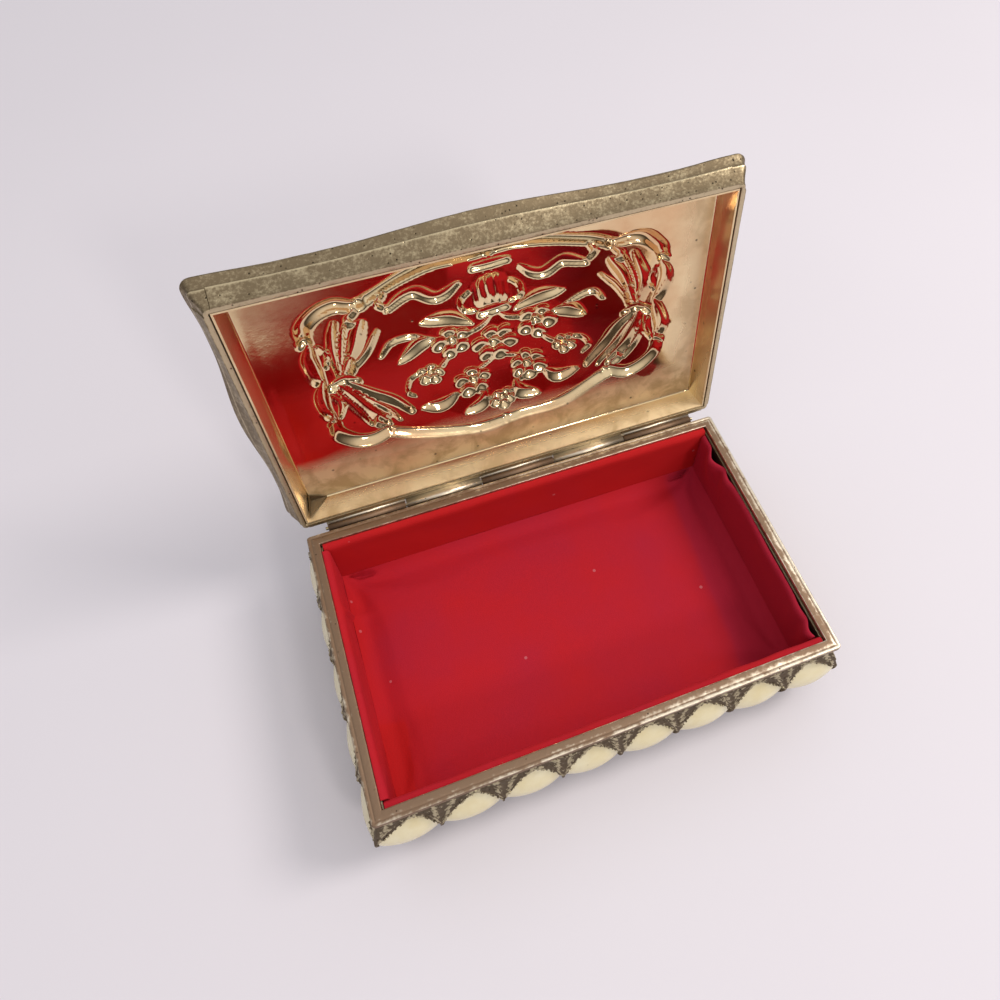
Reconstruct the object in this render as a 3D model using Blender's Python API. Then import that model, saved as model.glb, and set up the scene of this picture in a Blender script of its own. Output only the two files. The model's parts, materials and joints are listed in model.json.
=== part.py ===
"""Footed trinket box: a cast case with enamelled scallops round its walls and a red lining, and a hinged
lid whose thin sheet panel is embossed with a cartouche. The lid stands open, as it rests."""

import math

import bmesh
import bpy
from mathutils import Matrix, Vector

# Rim of the case, in metres. Every side is measured from its outer edge, and +Y points to the hinge.
RIM_WIDTH = 0.120
RIM_DEPTH = 0.0755
RIM_FLAT = 0.0030
RIM_THICKNESS = 0.0016
RIM_EDGE_RADIUS = 0.0006
RIM_BEAD_WIDTH = 0.0010
RIM_GROOVE = 0.0002
RIM_CORNER_RADIUS = 0.0020
CASE_HEIGHT = 0.0290

# Gaps that touching pieces keep
SEAT_GAP = 0.0003
PIN_CLEARANCE = 0.0001

# Cast wall below the rim. Its corners follow one profile, and its scallops swell out from that.
FOOT_HEIGHT = 0.0040
PLINTH_HEIGHT = 0.0045
WALL_TOP_INSET = 0.0013
WALL_SWELL = 0.0015
WALL_SWELL_DROP = 0.0136
WALL_FOOT_INSET = 0.0012
WALL_THICKNESS = 0.0010
FRONT_SCALLOPS = 8
SIDE_SCALLOPS = 5
SCALLOP_BULGE = 0.0023
SCALLOP_CREST_BELOW_ARCH = 0.0112
SCALLOP_TUCK_DEGREES = 76
ARCH_BELOW_WALL_TOP = 0.0009
ARCH_HEIGHT = 0.0092
ARCH_POWER = 1.9
RIB_WIDTH = 0.0007
FLORET_RAISE = 0.0007
PLINTH_RAISE = 0.0003
CELL_STEP = 0.0002

# Enamel poured into the cells between the ribs
ENAMEL_RECESS = 0.0010
ENAMEL_THICKNESS = 0.0006

# Bottom plate and the ledge that carries it
LEDGE_WIDTH = 0.0025
LEDGE_THICKNESS = 0.0015
BOTTOM_THICKNESS = 0.0008

# Bracket feet: each height is a share of the foot, with its splay and its arms' length there
FOOT_ARM = 0.0130
FOOT_THICKNESS = 0.0034
FOOT_INSET = 0.0010
FOOT_SPLAY = 0.0008
FOOT_SECTIONS = ((0.0, 1.0, 0.45), (0.35, 0.5, 0.5), (0.7, 0.0, 0.7), (1.0, 0.0, 1.0))

# Lining: a padded floor and four covered strips, of which the right one leans in
LINING_THICKNESS = 0.0012
LINING_EDGE_RADIUS = 0.0004
LINING_TOP_DROP = 0.0030
LINING_INSET = 0.0006
LINING_LEAN = 0.0024
PAD_THICKNESS = 0.0018
PAD_CROWN = 0.0006
PAD_SHOULDER = 0.0160
PAD_SECTIONS = (0.0, 0.35, 0.7, 1.0)
PAD_CORNER_RADIUS = 0.0020

# Hinge: five rolled knuckles on one wire
HINGE_LENGTH = 0.108
KNUCKLES = 5
KNUCKLE_RADIUS = 0.0010
KNUCKLE_GAP = 0.0003
PIN_RADIUS = 0.00045
PIN_END = 0.0006
LEAF_THICKNESS = 0.0005
LEAF_HEIGHT = 0.0032
HINGE_DROP = 0.0009

# Lid border, whose skirt stands on the rim's line and whose serpentine top edge overhangs it
LID_OPEN_DEGREES = 97.2
LID_SKIRT_HEIGHT = 0.0042
LID_SKIRT_FLARE = 0.0016
LID_EDGE_HEIGHT = 0.0073
LID_STEP = 0.0003
LID_OVERHANG = 0.0026
LID_CENTRE_SWELL = 0.0016
LID_CENTRE_REACH = 0.62
LID_CORNER_SWELL = 0.0007
LID_CORNER_REACH = 0.72
LID_REAR_OVERHANG = 0.0018
LID_CORNER_RADIUS = 0.0026
LID_SKIRT_CORNER_RADIUS = 0.0010
LID_EDGE_THICKNESS = 0.0009
LID_BORDER_WIDTH = 0.0037
LID_BORDER_RISE = 0.0015
LID_CREST_SHARE = 0.7
LID_STEP_SHARE = 0.9

# Lid panel, pressed from thin sheet with its walls turned towards the case
PANEL_RECESS = 0.0060
PANEL_SHEET = 0.00045
PANEL_WALL_SLOPE = 0.0017
FIELD_WIDTH = 0.090
FIELD_DEPTH = 0.057
FIELD_DOME = 0.0022
RELIEF_HEIGHT = 0.0019
RELIEF_SHIFT = 0.0036
RELIEF_SOFTNESS = 1.2

# Folded tab in the panel's rear left corner
TAB_SHEET = 0.0004
TAB_ALONG_BACK = 0.0044
TAB_ALONG_SIDE = 0.0024
TAB_FOOT = 0.0012

# Each material's linear colour, roughness and metalness
MATERIALS = {
    "tarnished_cast_metal": ((0.30, 0.25, 0.17), 0.42, 1.0),
    "polished_brass_sheet": ((0.66, 0.50, 0.33), 0.15, 1.0),
    "cream_enamel": ((0.70, 0.64, 0.44), 0.30, 0.0),
    "red_velvet": ((0.42, 0.012, 0.016), 0.90, 0.0),
    "plated_wire": ((0.45, 0.41, 0.34), 0.35, 1.0),
}

# How finely the surfaces are divided and shaded
CELL_COLUMNS = 6
CELL_ROWS = 3
WALL_HOLLOW_ROWS = 3
LID_LONG_STEPS = 16
LID_SHORT_STEPS = 10
CORNER_STEPS = 4
PANEL_CELL = 0.0065
PANEL_REFINEMENTS = 2
PANEL_PROBE_SHARE = 0.45
PANEL_LEAST_RELIEF = 0.0005
STROKE_STEPS = 4
BAR_SIDES = 16
MERGE_DISTANCE = 1e-7
SHARP_DEGREES = 35
SOFT_SHARP_DEGREES = 60

# Sizes that follow from those above. A drop is measured down from the rim's top.
HALF_WIDTH = RIM_WIDTH / 2
HALF_DEPTH = RIM_DEPTH / 2
WALL_TOP_DROP = RIM_THICKNESS + SEAT_GAP
WALL_FOOT_DROP = CASE_HEIGHT - FOOT_HEIGHT
ARCH_DROP = WALL_TOP_DROP + ARCH_BELOW_WALL_TOP
NOTCH_DROP = ARCH_DROP + ARCH_HEIGHT
CREST_DROP = ARCH_DROP + SCALLOP_CREST_BELOW_ARCH
PLINTH_DROP = WALL_FOOT_DROP - PLINTH_HEIGHT
PLATE_BOTTOM = FOOT_HEIGHT + LEDGE_THICKNESS + SEAT_GAP
PLATE_TOP = PLATE_BOTTOM + BOTTOM_THICKNESS
HINGE_AXIS = Vector((0, HALF_DEPTH + SEAT_GAP + KNUCKLE_RADIUS, CASE_HEIGHT - HINGE_DROP))
LID_BASE = CASE_HEIGHT + SEAT_GAP

# Each side's name, the way along it and the way out of it, counter-clockwise from above
SIDES = (
    ("front", Vector((1, 0)), Vector((0, -1))),
    ("right", Vector((0, 1)), Vector((1, 0))),
    ("back", Vector((-1, 0)), Vector((0, 1))),
    ("left", Vector((0, -1)), Vector((-1, 0))),
)
BACK = 2


def remove_everything():
    """An empty scene to build in."""
    for old in list(bpy.data.objects):
        bpy.data.objects.remove(old)


def make_material(name, colour, roughness, metallic):
    """A Principled material; colour is linear red, green and blue."""
    material = bpy.data.materials.new(name)
    material.use_nodes = True
    shader = material.node_tree.nodes["Principled BSDF"]
    shader.inputs["Base Color"].default_value = (*colour, 1.0)
    shader.inputs["Roughness"].default_value = roughness
    shader.inputs["Metallic"].default_value = metallic
    material.diffuse_color = (*colour, 1.0)
    return material


def make_pivot(name, location, parent=None):
    """An empty that pieces are parented to."""
    pivot = bpy.data.objects.new(name, None)
    bpy.context.scene.collection.objects.link(pivot)
    pivot.parent = parent
    pivot.location = location
    return pivot


def link_mesh(name, shape, parent):
    """Links a bmesh, drawn in the case's own frame, as an object whose origin is its parent's."""
    mesh = bpy.data.meshes.new(name)
    shape.to_mesh(mesh)
    shape.free()
    mesh.transform(Matrix.Translation(-parent.location))
    piece = bpy.data.objects.new(name, mesh)
    bpy.context.scene.collection.objects.link(piece)
    piece.parent = parent
    return piece


def make_piece(name, shape, material, parent, sharp_degrees=SHARP_DEGREES):
    """A named sub-part with its material, shaded smooth between its sharp edges."""
    piece = link_mesh(name, shape, parent)
    piece.data.materials.append(material)
    piece.data.shade_smooth()
    piece.data.set_sharp_from_angle(angle=math.radians(sharp_degrees))
    return piece


def combine(piece, name, shape, operation):
    """Cuts a helper shape out of a piece, or joins it on. The helper isn't part of the object."""
    helper = link_mesh(f"{piece.name}_{name}", shape, piece.parent)
    helper.hide_render = True
    helper.display_type = "WIRE"
    modifier = piece.modifiers.new(name, "BOOLEAN")
    modifier.operation = operation
    modifier.object = helper


def loft(rings, closed_section=False):
    """Skins rings of equal length, in order. A closed section joins its last ring to its first."""
    skin = bmesh.new()
    rows = [[skin.verts.new(point) for point in ring] for ring in rings]
    pairs = list(zip(rows, rows[1:]))
    if closed_section:
        pairs.append((rows[-1], rows[0]))
    for lower, upper in pairs:
        for i, corner in enumerate(lower):
            j = (i + 1) % len(lower)
            skin.faces.new((corner, lower[j], upper[j], upper[i]))
    if not closed_section:
        skin.faces.new(reversed(rows[0]))
        skin.faces.new(rows[-1])
    bmesh.ops.recalc_face_normals(skin, faces=skin.faces)
    return skin


def block(low, high):
    """A plain block between two corners."""
    low, high = Vector(low), Vector(high)
    shape = bmesh.new()
    bmesh.ops.create_cube(shape, size=1.0)
    bmesh.ops.scale(shape, vec=high - low, verts=shape.verts)
    bmesh.ops.translate(shape, vec=(low + high) / 2, verts=shape.verts)
    return shape


def smooth(share):
    """Eases from 0 to 1 as share goes from 0 to 1."""
    share = max(0.0, min(1.0, share))
    return share * share * (3 - 2 * share)


def at_height(flat, height):
    """A point above the ground from one on plan."""
    return Vector((flat.x, flat.y, height))


def corner_arc(centre, tangent, normal, radius):
    """The points within a rounded corner, from the side it leaves to the next one."""
    turns = [math.pi / 2 * step / CORNER_STEPS for step in range(1, CORNER_STEPS)]
    return [centre + radius * (normal * math.cos(turn) + tangent * math.sin(turn)) for turn in turns]


def rounded_ring(half_x, half_y, radius, height):
    """A rectangle with round corners at a height."""
    ring = []
    for side, (_, tangent, normal) in enumerate(SIDES):
        along, out = (half_x, half_y) if side % 2 == 0 else (half_y, half_x)
        reach = along - radius
        ring += [tangent * -reach + normal * out, tangent * reach + normal * out]
        ring += corner_arc(tangent * reach + normal * (out - radius), tangent, normal, radius)
    return [at_height(flat, height) for flat in ring]


def square_ring(setback, height):
    """A plain rectangle at a height, set out from the rim's edge by setback."""
    x, y = HALF_WIDTH + setback, HALF_DEPTH + setback
    return [Vector((x * a, y * b, height)) for a, b in ((-1, -1), (1, -1), (1, 1), (-1, 1))]


def side_sizes(side):
    """Half the side's length, how far it stands from the middle, and its number of scallops."""
    if side % 2 == 0:
        return HALF_WIDTH, HALF_DEPTH, FRONT_SCALLOPS
    return HALF_DEPTH, HALF_WIDTH, SIDE_SCALLOPS


def scallop_pitch(side):
    """The width of one scallop where the wall is widest."""
    half_along, _, scallops = side_sizes(side)
    return 2 * (half_along + WALL_SWELL) / scallops


def wall_profile(drop):
    """How far the wall's corner line stands outside the rim's edge."""
    if drop < WALL_SWELL_DROP:
        share = smooth((drop - WALL_TOP_DROP) / (WALL_SWELL_DROP - WALL_TOP_DROP))
        return -WALL_TOP_INSET + (WALL_SWELL + WALL_TOP_INSET) * share
    share = smooth((drop - WALL_SWELL_DROP) / (WALL_FOOT_DROP - WALL_SWELL_DROP))
    return WALL_SWELL - (WALL_SWELL + WALL_FOOT_INSET) * share


def wall_inner_face(drop):
    """Where the wall's inner face stands, from the rim's edge."""
    return wall_profile(drop) - ENAMEL_RECESS - WALL_THICKNESS


def cell_floor(across, drop):
    """How far a cell's floor stands outside the corner line. across runs from -1 to 1 over a scallop."""
    if drop < CREST_DROP:
        share = smooth((drop - ARCH_DROP) / (CREST_DROP - ARCH_DROP))
    else:
        below = min(1.0, (drop - CREST_DROP) / (PLINTH_DROP - CREST_DROP))
        share = math.cos(math.radians(SCALLOP_TUCK_DEGREES) * below)
    return SCALLOP_BULGE * share * (1 - across * across) - ENAMEL_RECESS


def crest_raise(drop):
    """How far the florets, ribs and plinth stand outside the corner line, most at the florets' tips."""
    if drop < NOTCH_DROP:
        return FLORET_RAISE * smooth((drop - WALL_TOP_DROP) / (NOTCH_DROP - WALL_TOP_DROP))
    share = smooth((drop - NOTCH_DROP) / (PLINTH_DROP - NOTCH_DROP))
    return FLORET_RAISE + (PLINTH_RAISE - FLORET_RAISE) * share


def arch_drop(across):
    """The drop of a scallop's arched upper edge."""
    return ARCH_DROP + ARCH_HEIGHT * abs(across) ** ARCH_POWER


def wall_point(side, position, drop, extra):
    """A point of the wall. position is -1 to 1 along the side, extra stands out from the corner line."""
    _, tangent, normal = SIDES[side]
    half_along, half_out, _ = side_sizes(side)
    corner = wall_profile(drop)
    along = position * (half_along + corner)
    if abs(position) == 1:
        along += position * extra
    return at_height(tangent * along + normal * (half_out + corner + extra), CASE_HEIGHT - drop)


def wall_columns(side):
    """The columns along a side: position on the side, place across the scallop, whether in a cell."""
    scallops = side_sizes(side)[2]
    edge = 1 - RIB_WIDTH / scallop_pitch(side)
    places = [(-1.0, False), (-edge, False)]
    places += [(edge * (2 * step / CELL_COLUMNS - 1), True) for step in range(CELL_COLUMNS + 1)]
    places.append((edge, False))
    for scallop in range(scallops):
        for across, in_cell in places:
            yield -1 + (2 * scallop + 1 + across) / scallops, across, in_cell


def wall_ring(drop_of, sunk=False):
    """A ring round the wall, at the drop that drop_of gives across a scallop. A sunk one dips in cells."""
    ring = []
    for side in range(len(SIDES)):
        for position, across, in_cell in wall_columns(side):
            drop = drop_of(across)
            extra = cell_floor(across, drop) if sunk and in_cell else crest_raise(drop)
            ring.append(wall_point(side, position, drop, extra))
    return ring


def cell_ring(share):
    """A sunk ring, at a share of the way down from the arches to the plinth."""

    def drop_of(across):
        first = arch_drop(across) + CELL_STEP
        return first + (PLINTH_DROP - first) * share

    return wall_ring(drop_of, sunk=True)


def build_wall(metal, case):
    """The cast wall: florets, ribs and sunk cells outside, hollow inside, with a ledge for the plate."""
    rings = [
        wall_ring(lambda across: WALL_TOP_DROP),
        wall_ring(lambda across: (WALL_TOP_DROP + arch_drop(across)) / 2),
        wall_ring(arch_drop),
    ]
    rings += [cell_ring(row / CELL_ROWS) for row in range(CELL_ROWS + 1)]
    rings += [
        wall_ring(lambda across: PLINTH_DROP + CELL_STEP),
        wall_ring(lambda across: (PLINTH_DROP + WALL_FOOT_DROP) / 2),
        wall_ring(lambda across: WALL_FOOT_DROP),
    ]
    skin = loft(rings)
    bmesh.ops.remove_doubles(skin, verts=skin.verts, dist=MERGE_DISTANCE)
    wall = make_piece("scalloped_wall", skin, metal, case, SOFT_SHARP_DEGREES)

    ledge_drop = WALL_FOOT_DROP - LEDGE_THICKNESS
    hollow = [square_ring(wall_inner_face(WALL_TOP_DROP), CASE_HEIGHT)]
    for row in range(WALL_HOLLOW_ROWS + 1):
        drop = WALL_TOP_DROP + (ledge_drop - WALL_TOP_DROP) * row / WALL_HOLLOW_ROWS
        hollow.append(square_ring(wall_inner_face(drop), CASE_HEIGHT - drop))
    combine(wall, "hollow", loft(hollow), "DIFFERENCE")
    opening = wall_inner_face(ledge_drop) - LEDGE_WIDTH
    through = [square_ring(opening, 0.0), square_ring(opening, CASE_HEIGHT)]
    combine(wall, "opening", loft(through), "DIFFERENCE")


def build_inlay(name, side, scallop, enamel, case):
    """The enamel in one cell: a pillow with an arched top that clears its cell all round."""
    scallops = side_sizes(side)[2]
    pitch = scallop_pitch(side)
    edge = 1 - (RIB_WIDTH + 2 * SEAT_GAP) / pitch
    pillow = bmesh.new()
    bmesh.ops.create_grid(pillow, x_segments=CELL_COLUMNS, y_segments=CELL_ROWS, size=1.0)
    raised = bmesh.ops.extrude_face_region(pillow, geom=pillow.faces[:], use_keep_orig=True)["geom"]
    upper = [item for item in raised if isinstance(item, bmesh.types.BMVert)]
    bmesh.ops.translate(pillow, vec=(0, 0, 1), verts=upper)
    bmesh.ops.recalc_face_normals(pillow, faces=pillow.faces)
    for vertex in pillow.verts:
        across = edge * vertex.co.x
        slope = ARCH_HEIGHT * ARCH_POWER * abs(across) ** (ARCH_POWER - 1) / (pitch / 2)
        first = arch_drop(across) + CELL_STEP + SEAT_GAP * math.hypot(1, slope)
        drop = first + (PLINTH_DROP - SEAT_GAP - first) * (vertex.co.y + 1) / 2
        lift = SEAT_GAP + ENAMEL_THICKNESS * vertex.co.z
        position = -1 + (2 * scallop + 1 + across) / scallops
        vertex.co = wall_point(side, position, drop, cell_floor(across, drop) + lift)
    bmesh.ops.reverse_faces(pillow, faces=pillow.faces)
    make_piece(name, pillow, enamel, case, SOFT_SHARP_DEGREES)


def build_rim(metal, case):
    """The flat rim that trims the wall's top, with a groove inside its rounded outer edge."""
    top, underside = CASE_HEIGHT, CASE_HEIGHT - RIM_THICKNESS
    section = [(0.0, underside)]
    for step in range(CORNER_STEPS):
        turn = math.pi / 2 * step / (CORNER_STEPS - 1)
        inset = RIM_EDGE_RADIUS * (1 - math.cos(turn))
        section.append((-inset, top - RIM_EDGE_RADIUS * (1 - math.sin(turn))))
    section += [
        (-RIM_BEAD_WIDTH, top - RIM_GROOVE),
        (-RIM_BEAD_WIDTH - RIM_GROOVE, top),
        (-RIM_FLAT, top),
        (-RIM_FLAT, underside),
    ]
    rings = []
    for setback, height in section:
        radius = max(RIM_GROOVE, RIM_CORNER_RADIUS + setback)
        rings.append(rounded_ring(HALF_WIDTH + setback, HALF_DEPTH + setback, radius, height))
    make_piece("rim_frame", loft(rings, closed_section=True), metal, case)


def build_bottom(metal, case):
    """The plate that closes the case from below and lies on the wall's ledge."""
    setback = wall_inner_face(WALL_FOOT_DROP - LEDGE_THICKNESS) - SEAT_GAP
    x, y = HALF_WIDTH + setback, HALF_DEPTH + setback
    make_piece("bottom_plate", block((-x, -y, PLATE_BOTTOM), (x, y, PLATE_TOP)), metal, case)


def build_foot(name, sign_x, sign_y, metal, case):
    """A bracket foot: two arms that meet under a corner, splayed at the ground and scooped below."""
    top = FOOT_HEIGHT - SEAT_GAP
    setback = wall_profile(WALL_FOOT_DROP) - FOOT_INSET
    rings = []
    for height_share, splay_share, arm_share in FOOT_SECTIONS:
        outer = setback + FOOT_SPLAY * splay_share
        inner = setback - FOOT_THICKNESS
        end = setback - FOOT_ARM * arm_share
        outline = [(outer, outer), (end, outer), (end, inner), (inner, inner), (inner, end), (outer, end)]
        height = top * height_share
        plan = [(sign_x * (HALF_WIDTH + x), sign_y * (HALF_DEPTH + y)) for x, y in outline]
        rings.append([Vector((x, y, height)) for x, y in plan])
    make_piece(name, loft(rings), metal, case)


def build_lining(velvet, case):
    """Four covered strips that stand round the inside, and the padded floor between them."""
    foot = PLATE_TOP + SEAT_GAP
    top = CASE_HEIGHT - LINING_TOP_DROP
    x = HALF_WIDTH - RIM_FLAT - LINING_INSET
    y = HALF_DEPTH - RIM_FLAT - LINING_INSET
    thick = LINING_THICKNESS
    end = y - thick - SEAT_GAP
    strips = {
        "lining_front": block((-x, -y, foot), (x, -y + thick, top)),
        "lining_back": block((-x, y - thick, foot), (x, y, top)),
        "lining_left": block((-x, -end, foot), (-x + thick, end, top)),
        "lining_right": block((x - thick, -end, foot), (x, end, top)),
    }
    leaning = strips["lining_right"]
    leaning_edge = [vertex for vertex in leaning.verts if vertex.co.z > (foot + top) / 2]
    bmesh.ops.translate(leaning, vec=(-LINING_LEAN, 0, 0), verts=leaning_edge)
    for name, shape in strips.items():
        soft_edge = make_piece(name, shape, velvet, case).modifiers.new("soft edge", "BEVEL")
        soft_edge.width = LINING_EDGE_RADIUS
        soft_edge.segments = 2

    lean_beside_pad = LINING_LEAN * PAD_THICKNESS / (top - foot)
    pad_x, pad_y = x - thick - SEAT_GAP - lean_beside_pad, end
    rings = [rounded_ring(pad_x, pad_y, PAD_CORNER_RADIUS, foot)]
    for share in PAD_SECTIONS:
        inset = PAD_SHOULDER * share
        height = foot + PAD_THICKNESS - PAD_CROWN * (1 - math.sin(math.pi / 2 * share))
        rings.append(rounded_ring(pad_x - inset, pad_y - inset, PAD_CORNER_RADIUS, height))
    make_piece("lining_floor", loft(rings), velvet, case, SOFT_SHARP_DEGREES)


def hinge_bar(first, last, radius):
    """A round bar on the hinge's axis, from one place to another, with a facet towards each leaf."""
    bar = bmesh.new()
    size = {"radius1": radius, "radius2": radius, "depth": last - first}
    bmesh.ops.create_cone(bar, cap_ends=True, segments=BAR_SIDES, **size)
    bmesh.ops.rotate(bar, matrix=Matrix.Rotation(math.pi / BAR_SIDES, 3, "Z"), verts=bar.verts)
    bmesh.ops.rotate(bar, matrix=Matrix.Rotation(math.pi / 2, 3, "Y"), verts=bar.verts)
    bmesh.ops.translate(bar, vec=HINGE_AXIS + Vector(((first + last) / 2, 0, 0)), verts=bar.verts)
    return bar


def build_leaf(name, knuckles, rise, metal, parent):
    """One hinge leaf: a strip from the axis, up or down by rise, with its knuckles bored for the wire."""
    end = HINGE_LENGTH / 2
    pitch = HINGE_LENGTH / KNUCKLES
    near = HINGE_AXIS.y - KNUCKLE_RADIUS
    low, high = sorted((HINGE_AXIS.z, HINGE_AXIS.z + rise))
    strip = block((-end, near, low), (end, near + LEAF_THICKNESS, high))
    leaf = make_piece(name, strip, metal, parent)
    clear = Vector((KNUCKLE_GAP / 2, KNUCKLE_RADIUS + KNUCKLE_GAP, KNUCKLE_RADIUS + KNUCKLE_GAP))
    for knuckle in range(KNUCKLES):
        first = -end + knuckle * pitch
        last = first + pitch
        if knuckle in knuckles:
            barrel = hinge_bar(first + KNUCKLE_GAP / 2, last - KNUCKLE_GAP / 2, KNUCKLE_RADIUS)
            combine(leaf, f"knuckle_{knuckle + 1}", barrel, "UNION")
        else:
            low_end = HINGE_AXIS + Vector((first, 0, 0))
            high_end = HINGE_AXIS + Vector((last, 0, 0))
            combine(leaf, f"room_{knuckle + 1}", block(low_end - clear, high_end + clear), "DIFFERENCE")
    bore = hinge_bar(-end - PIN_END, end + PIN_END, PIN_RADIUS + PIN_CLEARANCE)
    combine(leaf, "bore", bore, "DIFFERENCE")


def build_hinge(metal, wire, case, lid):
    """Both leaves and the wire. The case carries the odd knuckles and the wire, the lid the even ones."""
    build_leaf("hinge_leaf_case", range(0, KNUCKLES, 2), -LEAF_HEIGHT, metal, case)
    build_leaf("hinge_leaf_lid", range(1, KNUCKLES, 2), LEAF_HEIGHT, metal, lid)
    end = HINGE_LENGTH / 2 + PIN_END
    make_piece("hinge_pin", hinge_bar(-end, end, PIN_RADIUS), wire, case)


def lid_overhang(side, position, flare, rear_flare):
    """How far the lid stands outside the rim's line: most at the middle of a side and at its corners."""
    if side == BACK:
        return LID_REAR_OVERHANG * rear_flare
    reach = abs(position)
    middle = (1 + math.cos(math.pi * min(1.0, reach / LID_CENTRE_REACH))) / 2
    corner = smooth((reach - LID_CORNER_REACH) / (1 - LID_CORNER_REACH))
    return flare * (LID_OVERHANG + LID_CENTRE_SWELL * middle + LID_CORNER_SWELL * corner)


def lid_ring(setback, height, radius, flare=0.0, rear_flare=0.0):
    """A ring of the lid's border, with shares of the top edge's overhang: flare is for front and sides."""
    ring = []
    for side, (_, tangent, normal) in enumerate(SIDES):
        half_along, half_out, _ = side_sizes(side)
        before, after = (side - 1) % len(SIDES), (side + 1) % len(SIDES)
        start = half_along + setback + lid_overhang(before, 1.0, flare, rear_flare)
        end = half_along + setback + lid_overhang(after, -1.0, flare, rear_flare)
        steps = LID_LONG_STEPS if side % 2 == 0 else LID_SHORT_STEPS
        for step in range(steps + 1):
            position = -1 + 2 * step / steps
            reach = start if position < 0 else end
            out = half_out + setback + lid_overhang(side, position, flare, rear_flare)
            ring.append(tangent * position * (reach - radius) + normal * out)
        ring += corner_arc(tangent * (end - radius) + normal * (out - radius), tangent, normal, radius)
    return [at_height(flat, LID_BASE + height) for flat in ring]


def build_lid_border(metal, lid):
    """The lid's cast border: a flared skirt, a band with a serpentine edge, and a sloping top."""
    crest = LID_EDGE_HEIGHT + LID_BORDER_RISE
    seat = PANEL_RECESS + PANEL_SHEET + SEAT_GAP
    flare = LID_SKIRT_FLARE / LID_OVERHANG
    skirt_corner, edge_corner = LID_SKIRT_CORNER_RADIUS, LID_CORNER_RADIUS
    inner_corner = LID_STEP
    rings = [
        lid_ring(-LID_EDGE_THICKNESS, 0.0, inner_corner),
        lid_ring(0.0, 0.0, skirt_corner),
        lid_ring(0.0, LID_SKIRT_HEIGHT, skirt_corner, flare),
        lid_ring(0.0, LID_SKIRT_HEIGHT + LID_STEP, skirt_corner, flare * LID_STEP_SHARE),
        lid_ring(0.0, LID_EDGE_HEIGHT - LID_STEP, edge_corner, 1.0, 1.0),
        lid_ring(0.0, LID_EDGE_HEIGHT + LID_STEP, edge_corner, LID_STEP_SHARE, LID_STEP_SHARE),
        lid_ring(-LID_BORDER_WIDTH * LID_CREST_SHARE, crest, skirt_corner),
        lid_ring(-LID_BORDER_WIDTH, crest - LID_STEP, skirt_corner),
        lid_ring(-LID_BORDER_WIDTH, seat, skirt_corner),
        lid_ring(-LID_EDGE_THICKNESS - PANEL_WALL_SLOPE, seat, inner_corner),
    ]
    make_piece("lid_border", loft(rings, closed_section=True), metal, lid)


def cartouche_strokes():
    """The cartouche's frame as strokes, in millimetres from its centre. A stroke is its path, its half width,
    the share of the relief's height that it reaches, and the share of its width that is left at its ends.
    One quarter is drawn and mirrored: a bowed rod, a scroll, a side leaf, and a bead at each joint."""
    quarter = [
        ([(1.6, 28.1), (12.0, 27.6), (21.0, 25.4), (28.6, 22.0)], 1.8, 1.0, 1.0),
        ([(31.6, 21.0), (35.5, 22.3), (39.8, 21.2), (43.0, 18.0), (43.8, 15.2)], 2.1, 1.0, 0.8),
        ([(43.6, 12.4), (44.9, 8.0), (44.2, 3.0), (43.0, 0.0)], 2.1, 0.9, 0.4),
        (bead(30.1, 21.3), 1.9, 1.2, 1.0),
        (bead(44.0, 13.8), 1.8, 1.1, 1.0),
        (bead(0.0, 27.9), 2.1, 1.2, 1.0),
    ]
    return [mirrored(stroke, x, y) for stroke in quarter for x in (-1, 1) for y in (-1, 1)]


def curtain_strokes():
    """Curtains at both sides of the picture: folds that are gathered in a tie and fall from it."""
    folds = [
        ([(24.0, 16.6), (31.0, 8.2), (37.4, 2.0)], 2.2, 0.80, 0.6),
        ([(30.6, 18.4), (36.2, 10.0), (39.2, 2.6)], 2.2, 0.75, 0.6),
        ([(38.6, -0.6), (39.0, -9.0), (36.4, -17.2)], 2.1, 0.80, 0.7),
        ([(37.6, -0.6), (34.6, -8.0), (30.6, -16.0)], 2.1, 0.75, 0.7),
        ([(35.4, 1.8), (38.2, 0.8), (41.0, 1.8)], 1.7, 1.00, 0.8),
    ]
    return [mirrored(fold, side, 1) for fold in folds for side in (-1, 1)]


def bouquet_strokes():
    """A vase of flowers, whose foot is towards the lid's front, with a ribbon at both sides."""
    flowers = (
        (0.0, 1.6, 6.4), (-10.6, -2.4, 5.0), (10.8, -2.0, 5.2), (-7.2, 12.0, 4.8), (7.4, 11.6, 5.0),
        (-17.4, 6.6, 3.0), (17.8, 7.2, 3.1), (0.2, 20.6, 3.0),
    )
    strokes = [(bead(x, y), radius, 1.0, 1.0) for x, y, radius in flowers]
    halves = [
        ([(5.4, -7.0), (11.0, -10.2), (18.0, -10.6)], 2.6, 0.8, 0.2),
        ([(15.0, -4.2), (19.6, -3.8), (24.4, -0.6)], 2.4, 0.8, 0.2),
        ([(11.6, 14.8), (16.0, 17.6), (21.6, 17.0)], 2.5, 0.8, 0.2),
        ([(3.6, 16.4), (5.4, 20.2), (10.4, 22.4)], 2.2, 0.8, 0.2),
        ([(7.6, -20.4), (12.6, -17.2), (18.0, -20.2), (24.0, -17.4)], 1.7, 0.7, 0.5),
    ]
    strokes += [mirrored(stroke, side, 1) for stroke in halves for side in (-1, 1)]
    strokes += [
        ([(0.0, -16.4), (0.0, -13.4)], 5.2, 1.0, 1.0),
        ([(-3.0, -8.8), (3.0, -8.8)], 2.0, 0.9, 0.8),
        ([(-3.8, -23.4), (3.8, -23.4)], 2.0, 0.9, 0.8),
    ]
    return strokes


def bead(x, y):
    """The path of a round dome."""
    return [(x, y), (x + 0.1, y)]


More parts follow.
